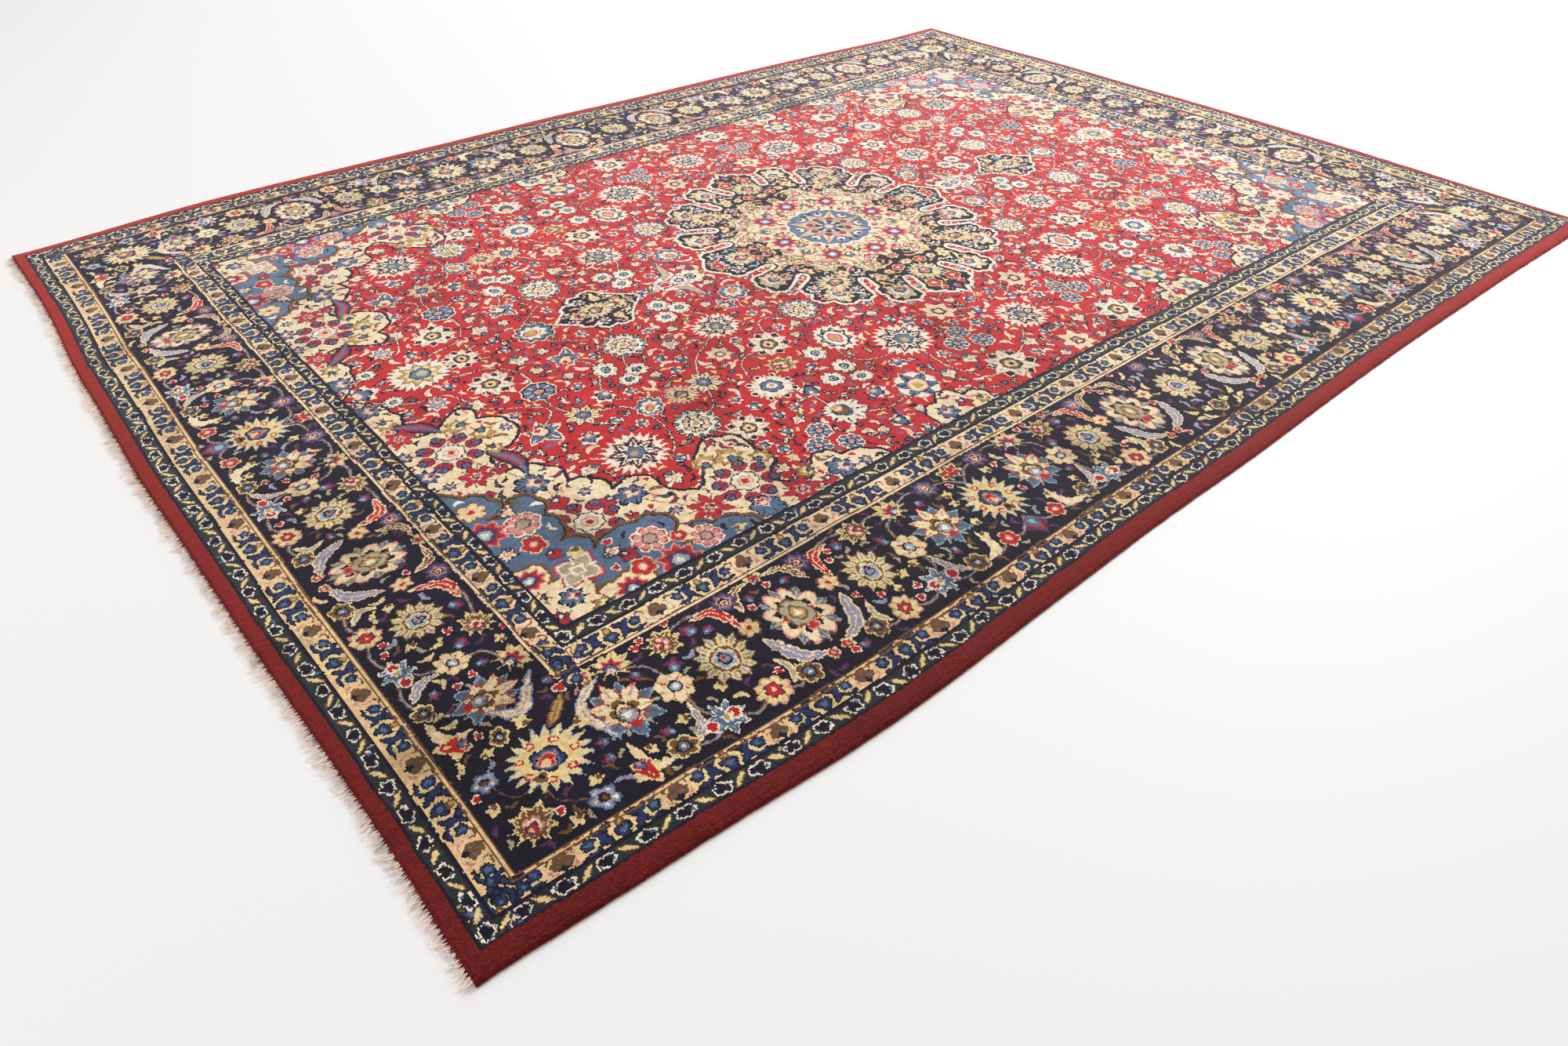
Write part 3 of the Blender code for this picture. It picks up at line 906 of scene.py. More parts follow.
CORNER = (
    (1534, 440, 0.0), (1480, 500, -0.2), (1440, 536, -0.4), (1476, 596, 0.3),
    (1414, 566, -0.3), (1382, 652, -0.2), (1398, 742, -0.3), (1360, 802, -0.15),
    (1262, 790, -0.3), (1202, 838, -0.1), (1230, 868, 0.1), (1222, 908, 0.3),
    (1188, 868, -0.2), (1150, 890, -0.3), (1080, 968, 0.0),
)
corner = scallops(CORNER)
fill(out_to_border(corner), "slate")
trim(corner, 5.0, "brown")
trim(corner + 4.0, 1.6, "navy")
CORNER_TIP = (
    (1530, 700, 0.3), (1478, 772, -0.2), (1478, 840, -0.3), (1428, 915, -0.15),
    (1388, 905, -0.35), (1326, 968, 0.0),
)
corner_tip = scallops(CORNER_TIP)
fill(out_to_border(corner_tip), "cream")
trim(corner_tip, 3.6, "brown")
plant((
    ("square palmette", 1420, 840, 46, 40),
    ("pink daisy", 1432, 655, 38, 0),
    ("pink daisy", 1275, 852, 38, 0),
    ("pink daisy", 1182, 915, 32, 0),
    ("apricot flower", 1490, 555, 34, 0),
    ("plum palmette", 1508, 640, 46, 180),
    ("plum palmette", 1262, 936, 46, 90),
    ("cream bud", 1442, 598, 22, 120),
    ("red flower", 1446, 722, 28, 0),
    ("plum heart", 1432, 768, 22, 120),
    ("plum heart", 1330, 862, 24, 120),
    ("red flower", 1325, 910, 26, 0),
    ("cream bud", 1352, 838, 22, 200),
    ("tuft", 1396, 792, 22, 60),
    ("cream bud", 1496, 712, 24, 60),
    ("red flower", 1225, 880, 20, 0),
    ("plum palmette", 1372, 944, 34, 60),
    ("plum palmette", 1506, 812, 34, 20),
    ("navy flower", 1462, 898, 30, 0),
    ("plum heart", 1508, 930, 26, 45),
    ("brown bloom", 1428, 946, 26, 0),
    ("brown bloom", 1512, 868, 22, 0),
))
sprinkle("slate", (("cream bud", 18), ("plum heart", 15), ("tuft", 15)), 19, 6000)
sprinkle("slate", (("ivory rose", 12), ("navy", 11), ("red trefoil", 9), ("brown", 10)), 12, 9000)

# ---------------------------------------------------------------------------------------
# The main border: a navy ground with large palmettes, each with the same company around.
# The run from one to the next is drawn out or in a little, so that whole runs fit between
# the corners, which have a palmette set slantwise.
FLOWERS |= {
    "fan": (
        ("thorns", "sky slate", 110, 7, 0.44, 0, 1.05),
        ("flames", "madder cream", 114, 7, 0.46, 4, 1.05),
        ("rays", "sage", 96, 7, 0.45, 4, 1.05),
        ("spokes", "brown", 84, 7, 0.50, 4, 1.05),
        ("crown", "straw brown", 58, 5, 0.34, -6, 1.1),
        ("crown", "navy apricot", 42, 3, 0.24, -12, 1.1),
        ("petals", "brown lilac", 30, 5, 0.20, -16, 1.1),
        ("petals", "ivory", 11, 0, 0, -14, 1.1),
        ("petals", "madder", 15, 3, 0.30, -54, 1.2),
    ),
    "round": (
        ("points", "brown straw", 108, 13, 0.26, 0, 1.08),
        ("rays", "lilac", 90, 13, 0.34, 0, 1.08),
        ("spokes", "brown", 84, 13, 0.34, 0, 1.08),
        ("petals", "straw", 60, 9, 0.20, 0, 1.08),
        ("petals", "brown", 50, 0, 0, 0, 1.1),
        ("petals", "cream sky", 43, 5, 0.18, 0, 1.1),
        ("petals", "navy lilac", 24, 3, 0.30, 4, 1.2),
        ("petals", "madder", 8, 0, 0, 10, 1.0),
    ),
    "rosette": (
        ("petals", "straw cream", 106, 7, 0.30, 0, 1.0),
        ("spokes", "gold", 92, 7, 0.30, 0, 1.0),
        ("spokes", "madder", 72, 4, 0.42, 0, 1.0),
        ("petals", "navy", 42, 5, 0.12, 0, 1.0),
        ("petals", "sky", 29, 0, 0, 0, 1.0),
        ("petals", "ivory", 14, 0, 0, 0, 1.0),
    ),
    "oval": (
        ("thorns", "plum", 110, 14, 0.34, 0, 1.34),
        ("points", "sage slate", 108, 8, 0.42, 0, 1.36),
        ("between", "rose cream", 100, 8, 0.44, 0, 1.36),
        ("rays", "sage", 92, 8, 0.30, 0, 1.36),
        ("thorns", "navy", 70, 8, 0.30, 0, 1.38),
        ("points", "straw madder", 62, 8, 0.36, 0, 1.38),
        ("petals", "brown sage", 50, 6, 0.16, 6, 1.45),
        ("petals", "brown gold", 27, 4, 0.20, 6, 1.50),
        ("petals", "ivory", 11, 3, 0.30, 6, 1.60),
        ("petals", "rose madder", 22, 3, 0.2, -66, 1.0),
    ),
    "six petals": (
        ("thorns", "plum", 112, 9, 0.36, 0, 1.0),
        ("points", "plum slate", 100, 7, 0.34, 0, 1.0),
        ("spokes", "plum", 84, 7, 0.40, 0, 1.0),
        ("petals", "rose", 54, 5, 0.22, 0, 1.0),
        ("petals", "navy cream", 42, 5, 0.24, 0, 1.0),
        ("petals", "madder", 13, 0, 0, 0, 1.0),
    ),
    "brown flower": (
        ("petals", "straw brown", 104, 6, 0.26, 0, 1.0),
        ("petals", "navy slate", 50, 0, 0, 0, 1.0),
        ("petals", "apricot", 14, 0, 0, 0, 1.0),
    ),
    "red and blue": (
        ("points", "ivory slate", 114, 7, 0.50, 0, 1.0),
        ("rays", "sky", 96, 7, 0.50, 0, 1.0),
        ("dots", "ivory madder", 68, 2, 38, -22, 1.0),
        ("flames", "ivory", 48, 5, 0.5, 0, 1.0),
        ("petals", "gold", 16, 0, 0, 0, 1.0),
    ),
    "red eye": (
        ("petals", "rose straw", 108, 8, 0.32, 0, 1.0),
        ("spokes", "gold", 92, 8, 0.34, 0, 1.0),
        ("petals", "plum", 56, 6, 0.26, 0, 1.0),
        ("petals", "madder", 42, 5, 0.2, 0, 1.0),
        ("petals", "straw", 14, 0, 0, 0, 1.0),
    ),
    "grey flower": (
        ("petals", "slate lilac", 104, 5, 0.32, 0, 1.0),
        ("dots", "ivory", 62, 5, 12, 0, 1.0),
        ("petals", "navy brown", 36, 0, 0, 0, 1.0),
    ),
    "tulip": (
        ("flames", "straw", 106, 5, 0.40, 0, 1.15),
        ("flames", "madder", 82, 3, 0.46, 0, 1.15),
        ("rays", "straw", 60, 3, 0.6, 0, 1.1),
        ("crown", "plum slate", 42, 3, 0.30, -34, 0.9),
        ("petals", "rose", 12, 0, 0, -40, 1.0),
    ),
}
STRAIGHTER = 0.35              # how much of the knots' straying the straight bands take


def frame_band(dye, out_x, out_y, in_x, in_y):
    """Colour the frame between two nested rectangles."""
    x = knot_x[:, None] + stray_x * STRAIGHTER
    y = knot_y[None, :] + stray_y * STRAIGHTER
    chart[((x > in_x) | (y > in_y)) & (x < out_x) & (y < out_y)] = DYE_NUMBER[dye]


frame_band("navy", 1822, 1328, 1590, 1043)
RUN_LENGTH = 511.0             # mm, that the tables of a run are laid out for
# Columns: flower, along the run, inwards from its middle, size, turn.
RUN_ROWS = (
    ("fan", 144, 6, 56, 90),
    ("rosette", 234, 0, 33, 0),
    ("round", 342, 2, 51, 90),
    ("heart", 0, 108, 36, 90),
    ("six petals", 82, 106, 29, 0),
    ("half palmette", 185, 100, 38, 60),
    ("brown palmette", 278, 94, 37, 0),
    ("bud", 262, 40, 19, 60),
    ("bud", 336, 88, 18, 120),
    ("six petals", 424, 106, 27, 0),
    ("bud", 0, -104, 30, 270),
    ("red flower", 70, -104, 23, 0),
    ("brown flower", 172, -106, 25, 0),
    ("red and blue", 262, -98, 34, 0),
    ("red eye", 357, -104, 30, 0),
    ("brown flower", 431, -108, 25, 0),
    ("tuft", 66, 62, 15, 120),
    ("tuft", 300, -42, 14, 240),
    ("tuft", 100, -64, 15, 270),
)
# Columns: places along and inwards, half width, dyes, teeth.
RUN_LEAVES = (
    (((152, -118), (112, -104), (108, -48)), 9, ("cream",), 5),
    (((196, -112), (222, -80), (228, -36)), 8, ("cream", "lilac"), 4),
    (((346, 108), (392, 96), (408, 26)), 10, ("cream", "madder"), 6),
    (((396, -112), (412, -84), (404, -50)), 6, ("cream", "sage"), 0),
)
RUN_VINES = (
    ((0, 66), (30, 96), (82, 106), (130, 118), (185, 100), (232, 112), (278, 94)),
    ((234, 30), (226, 66), (196, 88)),
    ((278, 94), (330, 116), (380, 112), (424, 106)),
    ((234, -32), (240, -66), (262, -98), (214, -122), (172, -106)),
    ((262, -98), (310, -122), (357, -104), (396, -122), (431, -108)),
    ((0, -76), (36, -112), (70, -104), (120, -122), (172, -106)),
)
OVAL_ROWS = (
    ("oval", 0, 0, 58, 90),
    ("apricot flower", -88, 26, 23, 0),
    ("tulip", 0, 122, 22, 90),
    ("red flower", -16, -104, 12, 0),
)
OVAL_LEAVES = (
    (((-86, -8), (-62, -76), (-12, -100)), 12, ("cream", "lilac"), 5),
    (((-74, 60), (-56, 112), (-14, 120)), 8, ("cream", "brown"), 4),
)


def border_run(x, y, along, inwards, length, depth, first=0, with_oval=True):
    """Draw from a flame palmette to the middle of the next oval, or from first onwards."""
    stretch = length / RUN_LENGTH
    size_share = (depth + 1.0) / 2

    def place(point, start=0.0):
        far, deep = start + point[0] * stretch, point[1] * depth
        return (x + far * along[0] + deep * inwards[0], y + far * along[1] + deep * inwards[1])

    def company(rows, start=0.0, way=1):
        return [(name, start + far * way * stretch, deep * depth, size * size_share, turn)
                for name, far, deep, size, turn in rows if start or far >= first]

    for points in RUN_VINES:
        if points[0][0] >= first:
            vine([place(p) for p in points], "lilac", edge="brown", half_width=1.3)
    for points, half_width, dyes, teeth in RUN_LEAVES:
        leaf([place(p) for p in points], half_width, *dyes, teeth=teeth)
    plant(company(RUN_ROWS), x, y, along, inwards)
    for way in (1, -1) if with_oval else ():
        for points, half_width, dyes, teeth in OVAL_LEAVES:
            leaf([place((far * way, deep), length) for far, deep in points],
                 half_width, *dyes, teeth=teeth)
        plant(company(OVAL_ROWS, length, way), x, y, along, inwards)


LONG_Y, SHORT_X = 1182.0, 1706.0      # the middle of the border on the long and short sides
CORNER_X, MID_X = 1684.0, 672.0
border_run(MID_X, LONG_Y, (1, 0), (0, -1), 518, 1.0)
border_run(MID_X, LONG_Y, (-1, 0), (0, -1), 492, 1.0)
border_run(CORNER_X, LONG_Y, (-1, 0), (0, -1), 494, 1.0, first=140, with_oval=False)
border_run(SHORT_X, 0, (0, 1), (-1, 0), 568, 0.82)
border_run(SHORT_X, LONG_Y, (0, -1), (-1, 0), 614, 0.82, first=120, with_oval=False)
plant((("flame", 0, 0, 64, 90),), MID_X, LONG_Y, (1, 0), (0, -1))
plant((("flame", 0, 0, 62, 90),), SHORT_X, 0, (0, 1), (-1, 0))
plant((
    ("round", 0, 0, 50, 90),
    ("six petals", 0, 106, 26, 0),
    ("brown flower", 0, -106, 24, 0),
), 0, LONG_Y, (1, 0), (0, -1))
leaf([(1535, 1088), (1594, 1128), (1580, 1222)], 10, "lilac", "cream", teeth=4)
leaf([(1716, 1036), (1668, 1070), (1618, 998)], 10, "lilac", "cream", teeth=4)
leaf([(1650, 1128), (1622, 1098), (1602, 1078)], 9, "brown", "gold", teeth=3)
vine([(1680, 1180), (1720, 1236), (1762, 1272)], "brown", half_width=1.2)
vine([(1783, 1159), (1760, 1214), (1720, 1222), (1712, 1262), (1663, 1294)], "brown",
     half_width=1.2)
plant((
    ("flame", 1684, 1180, 64, 225),
    ("tuft", 1612, 1148, 16, 135),
    ("tuft", 1676, 1092, 16, 315),
    ("red trefoil", 1596, 1064, 13, 225),
    ("half palmette", 1560, 1072, 26, 200),
    ("brown flower", 1722, 1092, 18, 0),
    ("grey flower", 1783, 1159, 23, 0),
    ("grey flower", 1663, 1294, 23, 0),
    ("brown palmette", 1766, 1274, 38, 225),
    ("tulip", 1588, 1284, 32, 100),
    ("tulip", 1781, 1066, 32, 350),
    ("tuft", 1794, 1214, 13, 60),
    ("tuft", 1712, 1302, 13, 30),
))
sprinkle("navy", (("straw brown", 15), ("bud", 13), ("tuft", 13), ("lilac", 14)), 16, 12000)
sprinkle("navy", (("plum", 11), ("red trefoil", 8), ("brown", 10), ("sage", 9)), 11, 14000)

# ---------------------------------------------------------------------------------------
# The guard stripes on both sides of the main border, and the plain red band outside them.
# Columns: a band's dye, where it ends out along x and y, and where it ends inwards.
BAND_ROWS = (
    ("wine", 1980, 1480, 1922, 1408),
    ("navy", 1922, 1408, 1917, 1404),
    ("green", 1917, 1404, 1886, 1377),
    ("navy", 1886, 1377, 1880, 1371),
    ("apricot", 1880, 1371, 1822, 1328),
    ("brown", 1825.5, 1331.5, 1822, 1328),
    ("apricot", 1830, 1336, 1825.5, 1331.5),
    ("brown", 1833.5, 1339.5, 1830, 1336),
    ("navy", 1598, 1050, 1595, 1047),
    ("cream", 1595, 1047, 1549, 990),
    ("brown", 1590, 1042, 1586.5, 1038.5),
    ("navy", 1549, 992, 1543, 986),
    ("green", 1543, 986, 1520, 952),
    ("navy", 1524, 954, 1517, 947),
)
for band in BAND_ROWS:
    frame_band(*band)

# Columns: flower, along from a panel's middle, outwards, size, turn.
PANEL_ROWS = (
    ("blue heart", 0, 5, 12.5, 90),
    ("apricot bud", 0, -13, 6.5, 270),
    ("round bud", 53, -4, 11, 60),
    ("round bud", -53, -4, 11, 120),
)
# Straps and tendrils from the middle of a panel towards a heart, drawn on both sides of it.
# Columns: places along and outwards, half width, dyes.
PANEL_STRAPS = (
    (((11, -19), (27, -12), (37, 3), (47, 14), (66, 15)), 8.2, ("navy", "indigo")),
    (((43, -20), (34, -7), (27, 7), (16, 19)), 8.0, ("navy", "indigo")),
    (((44, -13), (40, 0), (47, 9), (61, 6)), 2.0, ("straw",)),
    (((59, -14), (65, -18), (75, -15), (74, -6)), 1.2, ("brown",)),
    (((72, 3), (75, 12), (85, 17)), 1.4, ("rose",)),
)
FLOWERS |= {
    "blue heart": (
        ("petals", "straw", 158, 3, 0.26, 0, 1.0),
        ("petals", "navy indigo", 126, 3, 0.34, 0, 1.0),
        ("petals", "slate", 46, 3, 0.3, 0, 1.0),
    ),
    "round bud": (
        ("points", "navy", 118, 5, 0.22, 0, 1.0),
        ("petals", "indigo", 92, 4, 0.18, 0, 1.0),
        ("petals", "slate", 46, 4, 0.18, 0, 1.0),
    ),
    "apricot bud": (
        ("petals", "brown gold", 130, 3, 0.3, 0, 1.2),
    ),
    "guard heart": (
        ("petals", "brown", 118, 3, 0.30, -2, 0.90),
        ("rays", "slate", 92, 3, 0.60, -2, 0.90),
        ("points", "navy", 62, 4, 0.5, -84, 0.9),
    ),
    "guard flower": (
        ("petals", "ivory", 130, 5, 0.34, 0, 0.72),
        ("petals", "slate", 106, 5, 0.34, 0, 0.68),
        ("spokes", "ivory", 104, 5, 0.40, 0, 0.70),
        ("petals", "navy", 92, 3, 0.46, 0, 0.85),
    ),
}
SIDES = (((1, 0), (0, 1)), ((0, 1), (1, 0)))     # along and outwards, for a side and an end


def guard(side_middle, end_middle, pitch, heart_at_centre):
    """Hearts and lattice panels all along a cream guard stripe."""
    for (along, outwards), out, run in zip(
        SIDES, (side_middle, end_middle), (end_middle, side_middle)
    ):
        step = 2 * run / round(2 * run / pitch)
        x, y = out * outwards[0], out * outwards[1]
        first = 0.0 if heart_at_centre else 0.5
        for centre in np.arange(first - 1.0, run / step - 0.2) * step:
            middle = centre + step / 2
            for points, half_width, dyes in PANEL_STRAPS:
                for side in (1, -1):
                    leaf([(x + (middle + side * far) * along[0] + deep * outwards[0],
                           y + (middle + side * far) * along[1] + deep * outwards[1])
                          for far, deep in points], half_width, *dyes, edge=3.0)
            plant((("guard heart", centre, -3, 15.5, 270),), x, y, along, outwards)
            rows = [(name, middle + far, deep, size, turn)
                    for name, far, deep, size, turn in PANEL_ROWS]
            plant(rows, x, y, along, outwards)


def small_guard(side_middle, end_middle, pitch):
    """White-edged flowers and slanting yellow leaves along a dark guard stripe."""
    for (along, outwards), out, run in zip(
        SIDES, (side_middle, end_middle), (end_middle, side_middle)
    ):
        step = run / round(run / pitch)
        x, y = out * outwards[0], out * outwards[1]
        for number in range(round(run / step) + 1):
            way = 1 if number % 2 else -1
            plant((("guard flower", number * step, 0, 14, way * 90),), x, y, along, outwards)
            ends = [((number + 0.5) * step + far, way * deep)
                    for far, deep in ((-13, -10), (0, 0), (13, 10))]
            leaf([(x + far * along[0] + deep * outwards[0],
                   y + far * along[1] + deep * outwards[1]) for far, deep in ends],
                 4.6, "brown", "straw", edge=1.8)


guard(side_middle=1353, end_middle=1854, pitch=190, heart_at_centre=False)
guard(side_middle=1016, end_middle=1570, pitch=192, heart_at_centre=True)
# Two straps and four buds turn the corner of each.
for x, y in ((1854, 1353), (1570, 1018)):
    leaf([(x + 20, y - 6), (x, y - 14), (x - 20, y + 4)], 5.5, "navy", "indigo")
    leaf([(x - 6, y + 20), (x - 14, y), (x + 4, y - 20)], 5.5, "navy", "indigo")
    plant((("round bud", 5, 5, 9, 45), ("round bud", -34, 4, 9, 0),
           ("round bud", 4, -34, 9, 0), ("apricot bud", 16, 16, 6, 45)), x, y)
small_guard(side_middle=1390, end_middle=1901, pitch=64)
small_guard(side_middle=970, end_middle=1532, pitch=64)
# The plain band and the thin lines come last, over the ends of the straps and leaves.
for band in BAND_ROWS:
    if band[0] in ("wine", "navy", "brown"):
        frame_band(*band)
sprinkle("green", (("slate", 6), ("sage", 5)), 6, 9000)

# ---------------------------------------------------------------------------------------
# The foundation: the woven cotton sheet that every knot is tied on. It lies on the floor
# with the rug's uneven outline and its soft ripples, both read from the solid rug. Metres,
# from here on.
RUG_LENGTH, RUG_WIDTH = 3.90, 2.90
CORD_WIDTH = 0.0123                   # side cord with the hair's breadth beside it
END_X, SIDE_Y = RUG_LENGTH / 2, RUG_WIDTH / 2 - CORD_WIDTH
PILE_TOP, CROWN = 0.010, 0.008
SIDE_HEIGHT, END_HEIGHT = 0.0086, 0.0050   # of the rim, beside the cords and at the ends
PILE_DEPTH = 0.0008                   # what shows of the wool above the sheet
SETTLE = 0.25                         # an uneven edge is taken up over this distance
GRID = 0.05                           # between places where the ripples are read
EDGE_READ_AT = 0.003                  # the height over the floor where the outline is read
LAST_Y, LAST_X = 1.38, 1.90           # of the edge's casts: beyond, they miss the round corners
LIFT_FROM, LIFT_TO = -1.42, 1.43      # of the ripples' casts, clear of the rounded rims
LAST_SQUARE = 1.001                   # keeps a place beyond the casts in their last square

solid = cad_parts["rug"].data
solid_tree = BVHTree.FromPolygons([v.co for v in solid.vertices],
                                  [p.vertices for p in solid.polygons])


def cast(origin, direction, otherwise):
    """Where a ray meets the solid rug, or otherwise if it misses."""
    hit = solid_tree.ray_cast(Vector(origin), Vector(direction))[0]
    return otherwise if hit is None else hit


end_y, side_x = np.linspace(-LAST_Y, LAST_Y, 57), np.linspace(-LAST_X, LAST_X, 77)
end_out = {
    way: [way * cast((way * 3, y, EDGE_READ_AT), (-way, 0, 0), (way * END_X, 0, 0))[0] - END_X
          for y in end_y] for way in (-1, 1)}
side_out = {
    way: [way * cast((x, way * 3, EDGE_READ_AT), (0, -way, 0), (0, way * SIDE_Y, 0))[1] - SIDE_Y
          for x in side_x] for way in (-1, 1)}
lift_x, lift_y = np.arange(-END_X, END_X, GRID), np.arange(LIFT_FROM, LIFT_TO, GRID)
lifts = np.array([[cast((x, y, 1), (0, 0, -1), (0, 0, 0))[2] - PILE_TOP for y in lift_y]
                  for x in lift_x]).clip(0.0)


def between(x, y):
    """How far the ripples carry the rug off the floor at places between the casts."""
    row = ((x - lift_x[0]) / GRID).clip(0, len(lift_x) - LAST_SQUARE)
    column = ((y - lift_y[0]) / GRID).clip(0, len(lift_y) - LAST_SQUARE)
    i, j = row.astype(int), column.astype(int)
    f, g = row - i, column - j
    near = lifts[i, j] * (1 - f) + lifts[i + 1, j] * f
    far = lifts[i, j + 1] * (1 - f) + lifts[i + 1, j + 1] * f
    return near * (1 - g) + far * g


# The real medallion lies a little off the rug's middle, and its axis isn't quite square. The
# drift carries the chart there, and dies out at the border's outer edge.
BORDER_X, BORDER_Y = 1.82, 1.33
DRIFT_X, SKEW = 0.030, 0.029
DRIFT_Y, BOW = 0.047, 0.35


def laid(x, y, below_pile=0.0):
    """Places on the straight chart, in metres, moved onto the rug as it lies."""
    x, y = np.asarray(x, float), np.asarray(y, float).clip(-SIDE_Y, SIDE_Y)
    high = PILE_TOP
    for inward, rim in ((SIDE_Y - abs(y), SIDE_HEIGHT), (END_X - abs(x), END_HEIGHT)):
        round_off = np.sqrt(1 - (1 - inward.clip(0, CROWN) / CROWN) ** 2)
        high = np.minimum(high, rim + (PILE_TOP - rim) * round_off)
    drift_x = (DRIFT_X - SKEW * y) * (1 - (x / BORDER_X) ** 2).clip(0)
    drift_y = DRIFT_Y * (1 - (y / BORDER_Y) ** 2).clip(0) * (1 - BOW * (x / BORDER_X) ** 2)
    on_x, on_y = x + drift_x, y + drift_y
    for way in (-1, 1):
        on_x += way * np.interp(y, end_y, end_out[way]) * np.exp((way * x - END_X) / SETTLE)
        on_y += way * np.interp(x, side_x, side_out[way]) * np.exp((way * y - SIDE_Y) / SETTLE)
    return on_x, on_y, high - below_pile + between(on_x, on_y)


def linear(colour):
    """A hex colour as it is seen, turned into linear light."""
    shares = [int(colour[i:i + 2], 16) / 255 for i in (1, 3, 5)]
    return [s / 12.92 if s <= 0.04045 else ((s + 0.055) / 1.055) ** 2.4 for s in shares]


def add_node(tree, kind, inputs=(), **settings):
    """Add a node. Inputs maps a socket's name or number to a value or to what feeds it."""
    made = tree.nodes.new(kind)
    for name, value in settings.items():
        setattr(made, name, value)
    for socket, value in dict(inputs).items():
        if isinstance(value, bpy.types.NodeSocket):
            tree.links.new(value, made.inputs[socket])
        else:
            made.inputs[socket].default_value = value
    return made


CLUMP = 13.0                          # mm, how wide the tips of the pile cling together
FLECK = 5.0                           # mm, the tips' flecks of painted highlight and shade, drawn about twice as coarse, so that they show
# How many to the metre: bands where the dye lot changes, some 110 mm along the rug and 2 m
# across it, clouds of wear 600 mm wide, and patches of 280 mm where the pile leans another
# way, darkened as painted shade.
LOTS, CLOUDS, LEANING_SHADE = (9.0, 0.5, 1.0), 1.7, 3.6
TIP_SHADE, TIP_HIGHLIGHT = 0.72, 1.48  # painted shade and painted highlight on the tips, against the yarn's own colour
NAP_SHEEN = "#E6605A"                 # the plain red wool, seen along its brushed tips
OWN_SHEEN = 0.46                      # gamma, which makes of a yarn's colour a paler sheen
PLAIN_SHEEN = (0.62, 0.40, 0.33, 1.0)  # linear, where the sheen's links are dropped
MIX_A, MIX_B, MIX_RESULT = 6, 7, 2    # the colour sockets of a Mix node


